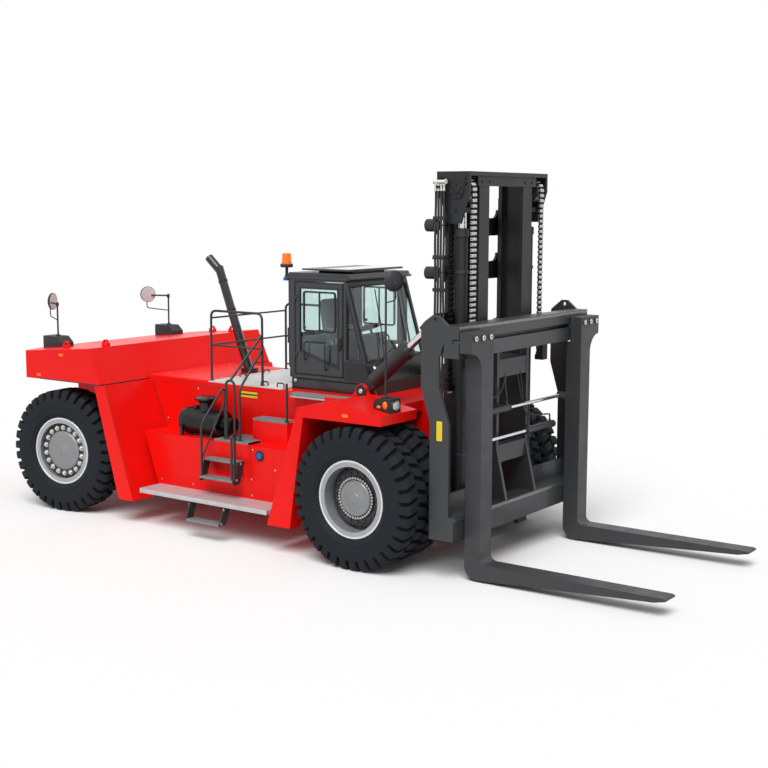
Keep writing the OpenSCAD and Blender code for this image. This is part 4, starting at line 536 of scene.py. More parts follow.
    # Aluminium tread: rolled and worn grey
    made["tread"] = finish("Aluminium_tread_worn", ("#8E9092", "#77797B"), patch_mm=90, rough=(0.4, 0.55),
                           bump_mm=6, bump=0.12, Metallic=0.7)
    made["glass"] = glass()
    made["deck"] = tread_plate(paint)
    made["plank"] = planks(paint)
    made["cloth"] = seat_cloth()
    return made


def glass():
    """Toughened tinted glass: clear and smooth, with faint smears in its gloss."""
    made, tree, shader, place = start("Toughened_glass", Transmission_Weight=1.0, IOR=1.45,
                                      Base_Color=linear("#E0F0EE"))
    gloss = ranged(tree, noise(tree, place, 240, 3.0), (0.4, 0.7), (0.0, 0.04))
    tree.links.new(gloss, shader.inputs["Roughness"])
    return made


def tread_plate(paint):
    """Painted tread plate: lozenges where two slanted waves of 90 mm cross; smooth and red behind."""
    made, tree, shader, place = start("Tread_plate_painted")
    mottle((made, tree, shader, place), (paint.deck, "#C4C4C1"), 500, (0.42, 0.55))
    waves = []
    for degrees in (45, -45):
        turned = add(tree, "ShaderNodeMapping", {"Vector": place, "Rotation": (0, 0, math.radians(degrees))})
        waves.append(wave(tree, turned.outputs["Vector"], 90, "X"))
    along = add(tree, "ShaderNodeSeparateXYZ", {"Vector": place}).outputs["X"]
    ahead = reckon(tree, "GREATER_THAN", along, DECK_SPLIT - MID_X)
    tint = shader.inputs["Base Color"].links[0].from_socket
    tree.links.new(blended(tree, ahead, linear(paint.hull), tint), shader.inputs["Base Color"])
    emboss(tree, shader, reckon(tree, "MULTIPLY", reckon(tree, "MULTIPLY", *waves), ahead), 0.5, 0.004)
    return made


def planks(paint):
    """Extruded aluminium plank, mill finish: ribs along its length, every 80 mm."""
    made, tree, shader, place = start("Aluminium_extruded", Metallic=0.3)
    mottle((made, tree, shader, place), (paint.plank, "#A3A5A7"), 260, (0.34, 0.48))
    emboss(tree, shader, wave(tree, place, 80, "Y"), 0.6, 0.004)
    return made


def seat_cloth():
    """Woven cloth: crossed threads every 12 mm, coarser than real so that they show, and a soft sheen."""
    made, tree, shader, place = start("Upholstery_woven", Sheen_Weight=0.4, Sheen_Roughness=0.5)
    mottle((made, tree, shader, place), ("#A3A7AA", "#8B9093"), 30, (0.8, 0.95))
    threads = [wave(tree, place, 12, direction) for direction in "XYZ"]
    weave = reckon(tree, "ADD", reckon(tree, "MULTIPLY", threads[0], threads[1]), threads[2])
    emboss(tree, shader, weave, 0.4, 0.002)
    return made


def colour(label, use, code):
    """Property that holds an sRGB hex code."""
    return bpy.props.StringProperty(name=label, description=use, default=code)


def length(label, use, metres):
    """Property that holds a length."""
    return bpy.props.FloatProperty(name=label, description=use, default=metres, unit="LENGTH")


class ForkliftColours(bpy.types.PropertyGroup):
    """Colours of the main finishes, as sRGB hex codes."""
    hull: colour("Hull red", "Enamel on the hull, fenders and counterweight", "#EC120E")
    hull_deep: colour("Hull red, deep", "Where the enamel lies thicker", "#E2100B")
    mast: colour("Mast grey", "Enamel on the mast and carriage", "#303234")
    mast_deep: colour("Mast grey, deep", "Darker patches of the mast enamel", "#282A2C")
    fork: colour("Fork grey", "Thin paint on the forged forks", "#343537")
    fork_deep: colour("Fork grey, deep", "Mill scale that shows through", "#2A2B2D")
    black: colour("Powder black", "Powder coat on rails, steps and axles", "#1C1D1F")
    cab: colour("Cab black", "Enamel on the cab", "#232528")
    deck: colour("Deck grey", "Paint on the walkway plates", "#D4D4D1")
    plank: colour("Plank aluminium", "Running boards and treads", "#CBCCCC")
    rim: colour("Rim silver", "Wheel paint", "#AEB0B3")
    tyre: colour("Tyre black", "Rubber of the tyres", "#12161A")
    amber: colour("Amber", "Turn lamps, reflectors and the beacon", "#FF7F0E")


class ForkliftSizes(bpy.types.PropertyGroup):
    """Sizes of the detail pieces that a user would change."""
    lugs: bpy.props.IntProperty(name="Tyre lugs", description="Lugs round one row of the tread", default=34,
                                min=12, max=48)
    lug_depth: length("Lug depth", "Depth of the grooves between lugs", 0.062)
    rail_r: length("Rail radius", "Radius of the rail tubes", 0.02)
    hose_r: length("Hose radius", "Radius of the mast hoses", 0.017)
    chain_pitch: length("Chain pitch", "Distance between chain pins", 0.0762)
    bolt_r: length("Bolt radius", "Half width of the common bolt heads", 0.018)


FINISH = {}
# Slot of each finish that the pieces wear
# Finish of each solid that stays in sight
NODE_FINISH = {
    "enamel_red": ("chassis_frame", "counterweight", "rear_arches", "front_fenders", "lifting_lugs",
                   "tilt_brackets"),
    "deck": ("deck_plates", "engine_hatch"),
    "plank": ("running_boards",),
    "powder_black": ("boarding_steps", "handrails", "drive_axle", "steer_axle", "knuckle_right",
                     "knuckle_left", "tilt_barrel_right", "tilt_barrel_left", "positioner_barrels",
                     "cab_base", "mirrors"),
    "cab_enamel": ("cab_shell", "cab_roof", "door_right", "door_left"),
    "abs": ("lamp_boxes", "cab_console", "work_lamps"),
    "gloss_black": ("air_cleaner",),
    "heat_black": ("exhaust_stack",),
    "glass": ("cab_glass", "door_glass_right", "door_glass_left"),
    "cloth": ("cab_seat",),
    "amber": ("beacon",),
    "rim_silver": ("rear_rim_right", "rear_rim_left", "front_rim_right", "front_rim_left"),
    "rubber": ("rear_tyre_right", "rear_tyre_left", "front_tyres_right", "front_tyres_left"),
    "enamel_grey": ("carriage_frame",),
    # The mast sections wear the dark grey enamel deepened with painted shade
    "enamel_mast": ("mast_outer", "mast_inner", "lift_barrels"),
    "hose": ("mast_hoses",),
    "forged": ("fork_right", "fork_left"),
    "chrome": ("lift_rods", "tilt_rod_right", "tilt_rod_left", "fork_rod_right", "fork_rod_left"),
    "steel": ("chain_sheaves",),
    "zinc": ("lift_chains", "chain_tails"),
}


class FORKLIFT_OT_finishes(bpy.types.Operator):
    """Makes every finish and gives each solid its own"""
    bl_idname = "forklift.finishes"
    bl_label = "Finishes"

    def execute(self, context):
        FINISH.update(make_finishes(context.scene.forklift_colours))
        named = {node: name for name, nodes in NODE_FINISH.items() for node in nodes}
        for node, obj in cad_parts.items():
            obj.data.materials.clear()
            obj.data.materials.append(FINISH[named[node]])
        return {"FINISHED"}


def tyre_shape(y, lugs, depth):
    """Tyre with two staggered rows of lugs.

    A closed profile P(v) with outward normal N(v) is turned round the axle; between lugs the surface
    sinks to P - depth W N, where W grows from the sidewall to the tread, and the lugs lean as a chevron.
    """
    half = np.array([(0.0, 1.03), (0.012, 1.03), (0.02, 1.03), (0.09, 1.03), (0.15, 1.03), (0.2, 1.029),
                     (0.226, 1.012), (0.246, 0.975), (0.257, 0.94), (0.264, 0.905), (0.268, 0.888),
                     (0.272, 0.865), (0.2745, 0.82), (0.2745, 0.78), (0.2755, 0.774), (0.2755, 0.764),
                     (0.2735, 0.758), (0.271, 0.7), (0.265, 0.655), (0.2675, 0.65), (0.266, 0.642),
                     (0.26, 0.636), (0.246, 0.603), (0.22, 0.577), (0.193, 0.566), (0.193, 0.505)])
    left = half[:0:-1] * (-1, 1)
    profile = np.concatenate([left, half])
    across, r = profile.T
    t = np.gradient(profile, axis=0)
    n = np.stack([-t[:, 1], t[:, 0]], 1)
    n /= np.linalg.norm(n, axis=1)[:, None]
    # Radius where the grooves start on the sidewall, and the rise to their full depth
    root, fade = 0.878, 0.03
    # Shares of the pitch: a lug's land, half its flank, and its lean at the middle
    land, flank, lean_share = 0.68, 0.022, 0.3
    # Half width of the slot between the rows, and its share of the full depth
    slot_hw, slot_share = 0.015, 0.45
    # Half width over which the lugs lean
    chevron_hw = 0.23
    weight = np.clip((r - root) / fade, 0, 1)
    edges = np.array([0, 0.5 + land - 1, 0.5, land])
    u = np.unique(np.concatenate([edges - flank, edges + flank,
            [0.06, 0.2, 0.31, 0.42, 0.56, 0.7, 0.81, 0.92]]) % 1)
    turn = ((np.arange(lugs)[:, None] + u) / lugs * TAU).reshape(-1)
    phase = np.tile(u, lugs)[:, None]
    row = np.where(across < 0, 0.0, 0.5)[None, :]
    local = (phase - row) % 1
    groove = 1.0 * (local > land)
    centre = slot_share * (np.abs(across) < slot_hw)[None, :]
    sink = depth * weight * np.maximum(groove, centre * np.ones_like(groove))
    pts = profile[None] - sink[..., None] * n[None]
    lean = lean_share * TAU / lugs * (1 - np.clip(np.abs(across), 0, chevron_hw) / chevron_hw)
    a = turn[:, None] + lean[None, :]
    xyz = np.stack([pts[..., 1] * np.cos(a), y + pts[..., 0], TYRE_R + pts[..., 1] * np.sin(a)], -1)
    return grid(xyz, True, True)


class FORKLIFT_OT_tyres(bpy.types.Operator):
    """Six lugged tyres in place of the plain ones"""
    bl_idname = "forklift.tyres"
    bl_label = "Tyres"

    def execute(self, context):
        sizes = context.scene.forklift_sizes
        for name, s in SIDES.items():
            rear = steered(tyre_shape(REAR_TYRE_OFF, sizes.lugs, sizes.lug_depth), s)
            piece(f"tyre_rear_{name}", [rear], "rubber", f"rear_wheel_{name}",
                  stands_for=(f"rear_tyre_{name}",), crease=40)
            twins = [driven(tyre_shape(y, sizes.lugs, sizes.lug_depth), s) for y in FRONT_TYRES_Y]
            piece(f"tyres_front_{name}", twins, "rubber", f"front_wheel_{name}",
                  stands_for=(f"front_tyres_{name}",), crease=40)
        return {"FINISHED"}


def lock_ring(y):
    """Bead that locks the tyre on its rim: an ellipse turned round the axle."""
    a = np.linspace(0, TAU, 12, endpoint=False)
    ring = np.stack([0.55 + 0.017 * np.cos(a), 0.012 * np.sin(a)], 1)
    return lathe(ring, (0, y, TYRE_R), ACROSS, 72)


class FORKLIFT_OT_hubs(bpy.types.Operator):
    """Lock rings, hub covers, flange bands and nuts on the wheels"""
    bl_idname = "forklift.hubs"
    bl_label = "Hubs"

    def execute(self, context):
        r = context.scene.forklift_sizes.bolt_r
        edge = FRONT_TYRES_Y[1] + RIM_HW
        cover = edge - 0.11
        dish = [(0.0, 0.03), (0.07, 0.03), (0.085, 0.02), (0.135, 0.02), (0.15, 0.012), (0.245, 0.012),
                (0.26, 0.0), (0.26, -0.01), (0.0, -0.01)]
        flange = [(0.255, 0.0), (0.275, 0.045), (0.3, 0.045), (0.31, 0.012), (0.4, 0.012), (0.42, 0.0)]
        studs = arrayed(disc((0, cover - 0.06, TYRE_R), ACROSS, 0.028, 0.038, 0.006, 16),
                        ring_of((0, 0, 0), ACROSS, 0.352, 18))
        screws = ring_of((0, cover - 0.012, TYRE_R), ACROSS, 0.288, 40)
        front = {"lock_ring": ("rim_bright", [lock_ring(edge)]),
                 "hub_cover": ("cast_grey", [lathe(dish, (0, cover, TYRE_R), ACROSS, 56)]),
                 "hub_casting": ("powder_black",
                                 [lathe(flange, (0, cover - 0.055, TYRE_R), ACROSS, 56), studs]),
                 "hub_bolts": ("zinc", [bolts(screws, ACROSS, 0.0115, 0.02)])}
        face = (0, REAR_TYRE_OFF + 0.19, TYRE_R)
        band = [(0.325, -0.03), (0.43, -0.03), (0.45, -0.045), (0.455, -0.13)]
        plate = [(0, 0.012), (0.05, 0.012), (0.06, 0.006), (0.105, 0.006), (0.112, 0.001), (0.29, 0.001),
                 (0.315, -0.006), (0.33, -0.02), (0.33, -0.05)]
        nuts = ring_of((0, face[1] - 0.03, TYRE_R), ACROSS, 0.388, 18)
        rear = {"hub_band": ("powder_black", [lathe(band, face, ACROSS, 56)]),
                "hub_plate": ("cast_grey", [lathe(plate, face, ACROSS, 56)]),
                "lock_ring": ("rim_bright", [lock_ring(REAR_TYRE_OFF + RIM_HW)]),
                "hub_nuts": ("zinc", [bolts(nuts, ACROSS, 1.6 * r, 0.036)])}
        for name, s in SIDES.items():
            for end, parts, moved in (("front", front, driven), ("rear", rear, steered)):
                for part, (look, shapes) in parts.items():
                    piece(f"{part}_{end}_{name}", [moved(x, s) for x in shapes], look, f"{end}_wheel_{name}")
        return {"FINISHED"}


class FORKLIFT_OT_rails(bpy.types.Operator):
    """Bent tube rails round the deck and hand loops beside the steps"""
    bl_idname = "forklift.rails"
    bl_label = "Rails"

    def execute(self, context):
        r = context.scene.forklift_sizes.rail_r
        y, x0, x1 = HULL_HW - 0.06, 2.45, 3.54
        top, mid = DECK_TOP + 1.14, DECK_TOP + 0.58
        plate = TANK_TOP + 0.03
        loops = [
            ([(x0, y, DECK_TOP), (x0, y, top), (x1, y, top), (x1, y, DECK_TOP)], r),
            ([(x0, y, mid), (x1, y, mid)], 0.75 * r),
            ([(3.03, 1.82, 0.93), (3.03, 1.82, 1.75), (3.175, 1.5, 2.27), (3.175, 1.422, 2.27),
              (3.175, 1.422, plate)], r),
            ([(3.03, 1.82, 1.2), (3.175, 1.422, 2.08)], 0.75 * r),
            ([(3.66, 1.82, 0.93), (3.66, 1.82, 1.625), (3.66, 1.745, 1.625), (3.66, 1.745, 0.93)], r),
            ([(3.26, 1.485, plate), (3.26, 1.485, 2.424), (3.43, 1.485, 2.424), (3.43, 1.485, plate)], r),
            ([(3.345, 1.485, 2.424), (x1, y, 3.116)], r),
            ([(x1, 1.485, plate), (x1, 1.485, DECK_TOP), (x1, y, mid)], r),
            ([(4.28, 1.23, 1.83), (4.28, 1.23, 2.424)], r),
        ]
        shapes = [both(tube(bent(path, 0.11, 8), radius)) for path, radius in loops]
        across = [tube([(x0, 0.004 - y, z), (x0, y - 0.004, z)], 0.75 * r) for z in (mid, top - 0.12)]
        kick = tube([(x0, y, DECK_TOP + 0.09), (x1, y, DECK_TOP + 0.09)], 0.75 * r)
        feet = disc((0, 0, 0), UP, 0.045, 0.01, 0.003, 20)
        stands = [(x0, y, DECK_TOP), (x1, y, DECK_TOP), (3.26, 1.485, plate), (3.43, 1.485, plate),
                  (x1, 1.485, plate), (3.175, 1.422, plate), (4.28, 1.23, 1.83)]
        piece("deck_rails", shapes + across + [kick, both(arrayed(feet, stands))], "powder_black",
              stands_for=("handrails",))
        return {"FINISHED"}


class FORKLIFT_OT_steps(bpy.types.Operator):
    """Ribbed aluminium treads on the steps, rims on the boards and the bolts of the cheeks"""
    bl_idname = "forklift.steps"
    bl_label = "Steps"

    def execute(self, context):
        # Tread edges: rear, front, inner and outer edge, top face
        plates = ((3.005, 3.684, 1.69, 1.84, 0.93), (3.005, 3.684, 1.575, 1.72, 1.2),
                  (3.005, 3.684, 2.01, 2.16, 0.3), (3.06, 3.77, 1.262, 1.556, 1.486),
                  (3.06, 3.596, 1.005, 1.262, 1.486), (3.602, 4.298, 1.005, 1.248, 1.826),
                  (4.302, 5.4, 1.005, 1.186, 2.277))
        ribs, caps = [], []
        for x0, x1, y0, y1, z in plates:
            caps.append(block((x0, y0 - 0.004, z - 0.034), (x1, y1 + 0.006, z + 0.004), 0.006, "x", 0.002))
            rows = np.linspace(y0 + 0.008, y1 - 0.008, int((y1 - y0) / 0.016))
            rib = block((x0 + 0.01, -0.004, z + 0.002), (x1 - 0.01, 0.004, z + 0.009), 0.003, "x", 0.001)
            ribs.append(arrayed(rib, np.stack([0 * rows, rows, 0 * rows], 1)))
        piece("step_treads", [both(*caps, *ribs)], "tread")
        heads = ((1.76, 0.93), (1.66, 1.17), (2.06, 0.52), (2.12, 0.31))
        rear, front = [bolts([(x, *head) for head in heads], axis, 0.013, 0.012)
                       for x, axis in ((2.985, (-1, 0, 0)), (3.705, ALONG))]
        piece("step_bolts", [both(rear), both(front)], "zinc")
        trims = [block((1.88, 2.046, 0.555), (4.56, 2.056, 0.626), 0.004, "x", 0.002),
                 block((1.88, 1.6, 0.545), (1.9, 2.05, 0.628), 0.004, "y", 0.002),
                 block((3.014, 1.572, 0.6205), (3.028, 2.05, 0.626), 0.0015, "y", 0.0005)]
        piece("board_rims", [both(*trims)], "plank")
        return {"FINISHED"}


def chain_links(length, pitch):
    """Straight leaf chain along z: stacks of wide plates across y, and the thin plates and pins between."""
    count = int(round(length / pitch))
    step = length / count
    wide = slab(rounded(-0.019, 0.019, 0, step * 0.56, 0.008, 3), 0, 0.0095, "y", 0.001)
    thin = slab(rounded(-0.013, 0.013, -step * 0.3, step * 0.92, 0.012, 3), 0, 0.006, "y", 0.001)
    z = np.arange(count) * step
    outer, inner = np.linspace(-0.052, 0.0425, 8), np.linspace(-0.0455, 0.039, 7)
    places = [np.stack(np.meshgrid(0.0, row, z, indexing="ij"), -1).reshape(-1, 3) for row in (outer, inner)]
    pin = tube([(0, -0.062, 0), (0, 0.062, 0)], 0.008, 8)
    pins = arrayed(pin, np.stack([0 * z, 0 * z, z + step * 0.28], 1))
    return arrayed(wide, places[0]), joined([arrayed(thin, places[1]), pins])


def round_sheave(shape, r):
    """Bends a chain along z into a half circle: z = a r turns into (r' cos a, r' sin a) with r' = r + x."""
    points, groups = shape
    a, out = points[:, 2] / r, r + points[:, 0]
    return np.stack([SHEAVE_X + out * np.cos(a), points[:, 1], SHEAVE_Z + out * np.sin(a)], 1), groups


class FORKLIFT_OT_chains(bpy.types.Operator):
    """Leaf chains: front strands to the carriage, turns over the sheaves and rear strands to the anchors"""
    bl_idname = "forklift.chains"
    bl_label = "Lift chains"

    def execute(self, context):
        pitch = context.scene.forklift_sizes.chain_pitch
        arc = SHEAVE_R + CHAIN_T / 2
        bolt = placed(bolts([(0, 0, 0)], UP, 0.02, 0.03), (0, 0, 0), (1, 1, -1))
        front = [arrayed(s, [(SHEAVE_X + arc, CHAIN_Y, CHAIN_FOOT)])
                 for s in chain_links(SHEAVE_Z - CHAIN_FOOT, pitch)]
        rear = [arrayed(s, [(SHEAVE_X - arc, CHAIN_Y, ANCHOR_Z)])
                for s in chain_links(SHEAVE_Z - ANCHOR_Z, pitch)]
        turn = [arrayed(round_sheave(s, arc), [(0, CHAIN_Y, 0)]) for s in chain_links(math.pi * arc, pitch)]
        at = SHEAVE_X - MID_X
        down = ("mast_inner", "carriage", (at + arc, 0, SHEAVE_Z), (at + arc, 0, CHAIN_FOOT))
        back = ("mast_outer", "mast_inner", (at - arc, 0, ANCHOR_Z), (at - arc, 0, SHEAVE_Z))
        # Painted highlight: the plates of the front strands wear pale zinc, while the rear strands of the
        # same chain wear dark oiled steel
        piece("chains_front", [both(front[0])], "zinc", down, stands_for=("lift_chains",))
        piece("chain_pins_front", [both(front[1])], "oiled", down)
        piece("chains_rear", [both(*rear)], "oiled", back, stands_for=("chain_tails",))
        # Painted highlight: the plates of the turn wear pale zinc as well
        piece("chains_turn", [both(turn[0])], "zinc", "mast_inner")
        piece("chain_pins_turn", [both(turn[1])], "oiled", "mast_inner")
        ends = [arrayed(bolt, [(SHEAVE_X - arc, CHAIN_Y + d, ANCHOR_Z - 0.08) for d in (-0.032, 0.032)])]
        piece("chain_anchors", [both(*ends)], "zinc", "mast_outer")
        return {"FINISHED"}


class FORKLIFT_OT_hoses(bpy.types.Operator):
    """Hose bundle on the mast: four hoses with crimped ends, clamp blocks and the white guide roller"""
    bl_idname = "forklift.hoses"
    bl_label = "Mast hoses"

    def execute(self, context):
        r = context.scene.forklift_sizes.hose_r
        z = np.linspace(2.28, HOSE_TOP, 40)
        lanes = [tube(np.stack([HOSE_X + k * HOSE_PITCH + 0.004 * np.sin(5 * z + k),
                                HOSE_Y + 0.003 * np.sin(4 * z + 2 * k), z], 1), r) for k in range(4)]
        piece("hoses", lanes, "hose", "mast_outer", stands_for=("mast_hoses",))
        mid = HOSE_X + 1.5 * HOSE_PITCH
        ends = [lathe([(0, 0), (0.021, 0), (0.021, 0.03), (0.018, 0.034), (0.018, 0.07), (0.022, 0.074),
                       (0.022, 0.1), (0, 0.1)], (HOSE_X + k * HOSE_PITCH, HOSE_Y, zz), UP, 12)
                for k in range(4) for zz in (2.28, HOSE_TOP - 0.1)]
        piece("hose_ends", ends, "zinc", "mast_outer")
        arms, low, steps = [], HOSE_Y - 0.017, (2.65, 4.4)
        for zz in steps:
            arms.append(block((6.914, low, zz), (7.115, HOSE_Y + 0.017, zz + 0.02), 0.004, "z", 0.003))
            arms.append(block((6.914, HOSE_Y, zz), (6.96, -0.815, zz + 0.02), 0.004, "z", 0.003))
        spans = [(zz + 0.02, zz + 0.06) for zz in steps] + [(zz, zz + 0.05) for zz in (3.1, 3.95, 4.95)]
        blocks = [block((HOSE_X - 0.03, HOSE_Y - 0.03, lo), (HOSE_X + 0.168, HOSE_Y + 0.03, hi), 0.008, "z")
                  for lo, hi in spans]
        piece("hose_brackets", arms, "enamel_grey", "mast_outer")
        piece("hose_clamps", blocks, "abs", "mast_outer")
        roller = lathe([(0, 0), (0.035, 0), (0.035, 0.012), (0.022, 0.02), (0.022, 0.19), (0.035, 0.198),
                        (0.035, 0.21), (0, 0.21)], (mid - 0.105, HOSE_Y, HOSE_TOP + 0.03), ALONG, 24)
        piece("hose_roller", [roller], "nylon", "mast_outer")
        return {"FINISHED"}


class FORKLIFT_OT_mast_trim(bpy.types.Operator):
    """Bolts on the crown, cylinder caps and clamps, and the work lamps behind the mast"""
    bl_idname = "forklift.mast_trim"
    bl_label = "Mast trim"

    def execute(self, context):
        r = context.scene.forklift_sizes.bolt_r
        heads = bolts(ring_of((SHEAVE_X, 1.12, SHEAVE_Z), ACROSS, 0.085, 6), ACROSS, 0.011, 0.012)
        cheek = bolts([(7.0, 1.1, 5.45), (7.0, 1.1, 5.52), (7.4, 1.1, 5.45), (7.4, 1.1, 5.52),
                       (7.24, 1.1, 5.08)], ACROSS, r, 0.02)
        hub = disc((SHEAVE_X, 1.12, SHEAVE_Z), ACROSS, 0.05, 0.014, 0.004, 28)
        beam = bolts([(7.43, y, 5.6 - 0.03 * k) for y in (0.5, 0.7) for k in (1, 4)], ALONG, 0.013, 0.012)
        piece("crown_bolts", [both(heads, cheek, hub, beam)], "oiled", "mast_inner")
        caps = [lathe([(LIFT_R, 0), (LIFT_R + 0.014, 0.006), (LIFT_R + 0.014, 0.11), (LIFT_R, 0.12),
                       (0.068, 0.124), (0.068, 0.1)], (LIFT_X, LIFT_Y, 4.712), UP, 40)]
        caps.append(lathe(hoop(LIFT_R - 0.002, 0.012, 0.064, 0.004), (LIFT_X, LIFT_Y, 0.72), UP, 40))
        for z in (1.6, 3.0, 4.2):
            caps.append(lathe(hoop(LIFT_R - 0.002, 0.014, 0.05, 0.003), (LIFT_X, LIFT_Y, z), UP, 40))
            caps.append(block((LIFT_X - 0.05, 0.812, z), (LIFT_X + 0.05, 0.84, z + 0.05), 0.004, "z"))
        piece("lift_caps", [both(*caps)], "powder_black", "mast_outer")
        rims, lenses = [], []
        for z in MAST_LAMPS_Z:
            place = (6.845, MAST_LAMP_Y, z)
            rims.append(lathe([(0.078, 0), (0.09, 0), (0.096, 0.006), (0.096, 0.024), (0.086, 0.03),
                               (0.078, 0.02)], place, ALONG, 32))
            rims.append(lathe([(0.0, 0.03), (0.05, 0.028), (0.082, 0.006), (0.086, 0)],
                              (6.71, MAST_LAMP_Y, z), (-1, 0, 0), 32))
            rims.append(block((6.81, 0.9, z - 0.13), (6.84, 0.93, z + 0.02), 0.006, "z"))
            lenses.append(lathe([(0.079, 0.016), (0.05, 0.024), (0, 0.027)], place, ALONG, 32))
        piece("mast_lamp_rims", [both(*rims)], "abs", "mast_outer")
        piece("mast_lamp_lenses", [both(*lenses)], "clear_lens", "mast_outer")
        return {"FINISHED"}


class FORKLIFT_OT_carriage(bpy.types.Operator):
    """Carriage trim: wear strips, the blank yellow plate, glands and hoses, and what is on the fork heads"""
    bl_idname = "forklift.carriage"
    bl_label = "Carriage trim"

    def execute(self, context):
        strips = [block((7.735, -1.84, 0.86), (7.745, 1.84, 0.91), 0.003, "y", 0.002),
                  block((7.8, -1.84, 3.5), (7.806, 1.84, 3.54), 0.002, "y", 0.002)]
        piece("carriage_strips", strips, "steel", "carriage")
        plate = slab(rounded(7.455, 7.545, 1.97, 2.24, 0.012), -1.853, -1.85, "y", 0.001)
        piece("end_plate_label", [plate], "vinyl_yellow", "carriage")
        edge = slab(rounded(7.466, 7.534, 1.99, 2.22, 0.006), -1.8536, -1.852, "y", 0.0005)
        piece("end_plate_mark", [edge], "vinyl_panel", "carriage")
        glands, hoses = [], []
        for side, z in ROD_Z.items():
            glands.append(lathe([(0.03, 0), (0.056, 0.004), (0.056, 0.05), (0.046, 0.056), (0.029, 0.06)],
                                (ROD_X, 1.03 * side, z), (0, side, 0), 28))
            glands.append(lathe(hoop(0.05, 0.005, 0.033, 0.003), (ROD_X, 0.26 * side, z), (0, side, 0), 28))
            for y in (0.32, 0.98):
                glands.append(lathe([(0, 0.04), (0.02, 0.042), (0.02, 0.075), (0.014, 0.08), (0.014, 0.1),
                                     (0, 0.1)], (ROD_X, y * side, z), UP, 12))
            hoses.append(tube(bent([(ROD_X, 0.98 * side, z + 0.09), (ROD_X, 0.98 * side, z + 0.16),
                                    (7.62, 0.5 * side, z + 0.2), (7.58, 0.3 * side, z + 0.3),
                                    (7.56, 0.22 * side, 2.72), (7.5, 0.2 * side, 2.95)], 0.1, 6), 0.012, 10))
            hoses.append(tube(bent([(ROD_X, 0.32 * side, z + 0.09), (ROD_X, 0.32 * side, z + 0.2),
                                    (7.58, 0.26 * side, z + 0.34), (7.54, 0.16 * side, 2.72),
                                    (7.48, 0.14 * side, 2.95)], 0.1, 6), 0.012, 10))
        piece("positioner_glands", glands, "powder_black", "carriage")
        piece("positioner_hoses", hoses, "hose", "carriage")
        for name, side in SIDES.items():
            rings = [lathe([(0.012, 0.02), (0.03, 0.02), (0.039, 0.016), (0.039, 0.021), (0.032, 0.027),
                            (0.014, 0.027)], (8.0, y * side, HEAD_DISC_Z), ALONG, 32) for y in HEAD_DISCS]
            piece("head_washers_" + name, rings, "zinc", "fork_" + name)
            cores = [disc((8.016, y * side, HEAD_DISC_Z), ALONG, 0.0125, 0.012, 0.002, 16)
                     for y in HEAD_DISCS]
            piece("head_plugs_" + name, cores, "powder_black", "fork_" + name)
            nut = bolts([(ROD_X, 1.29 * side, ROD_Z[-side])], (0, side, 0), 0.022, 0.02)
            piece("rod_nuts_" + name, [nut], "zinc", "fork_" + name)
        return {"FINISHED"}


def frame_ring(outline, width, lo, hi, axis):
    """Flat band along a closed outline: outer and inner edges carried from lo to hi, closed all round."""
    outer, inner = np.asarray(outline, float), inset(outline, width)
    order = {"x": (2, 0, 1), "y": (0, 2, 1)}[axis]
    loop = np.stack([outer, outer, inner, inner])
    level = np.array([lo, hi, hi, lo])[:, None, None] + np.zeros((4, len(outer), 1))
    return grid(np.concatenate([loop, level], -1)[..., order], True, True)


def on_screen(shape):
    """Leans a flat shape drawn at x = 0 over height z onto the sloping windscreen."""
    points, groups = shape
    share = (points[:, 2] - CAB_Z0) / (CAB_Z1 - CAB_Z0)
    return points + np.stack([CAB_X2 + (CAB_X1 - CAB_X2) * share, 0 * share, 0 * share], 1), groups


class FORKLIFT_OT_doors(bpy.types.Operator):
    """Door trim: window seals, sliding pane frame, grab bar, handle and lock on each side"""
    bl_idname = "forklift.doors"
    bl_label = "Doors"

    def execute(self, context):
        x0, x1 = DOOR_X[0] + 0.09, DOOR_X[1] - 0.09
        hole = np.array([(x0, 2.89), (x1, 2.66), (x1, 3.88), (x0, 3.88)])
        pane = rounded(x0 + 0.06, x1 - 0.06, 3.2, 3.83, 0.05)
        leaf = [(4.105, 2.537), (5.035, 2.537), (5.035, 3.965), (4.105, 3.965)]
        middle = (x0 + x1) / 2
        for name, side in SIDES.items():
            body = "door_" + name
            seals = [frame_ring(inset(hole, -0.012), 0.03, 0.772, 0.806, "y"),
                     frame_ring(pane, 0.028, 0.765, 0.792, "y"),
                     block((middle - 0.012, 0.766, 3.22), (middle + 0.012, 0.79, 3.81), 0.003, "z", 0.002),
                     block((x0 + 0.08, 0.768, 3.16), (x0 + 0.26, 0.786, 3.195), 0.006, "x"),
                     frame_ring(leaf, 0.014, 0.79, 0.805, "y")]
            piece("door_seals_" + name, on_side(side, seals), "hose", body)
            bar = [tube(bent([(4.31, 0.8, 2.76), (4.31, 0.845, 2.78), (4.31, 0.845, 3.04),
                              (4.72, 0.845, 3.04), (4.72, 0.845, 2.64), (4.72, 0.8, 2.62)], 0.045, 6), 0.012,
                        10)]
            dish = lathe([(0, 0), (0.052, 0), (0.058, 0.01), (0.05, 0.026), (0.02, 0.034), (0, 0.035)],
                         (0, 0, 0), ACROSS, 28)
            oval = [placed(dish, (4.98, 0.8, 3.05), (0.72, 1, 2.0))]
            grip = [block((4.965, 0.83, 2.97), (4.995, 0.85, 3.13), 0.01, "z")]
            knob = [disc((x0 + 0.1, 0.79, 3.27), ACROSS, 0.022, 0.03, 0.005, 20)]
            piece("door_grips_" + name, on_side(side, bar + oval + grip + knob), "abs", body)
        return {"FINISHED"}


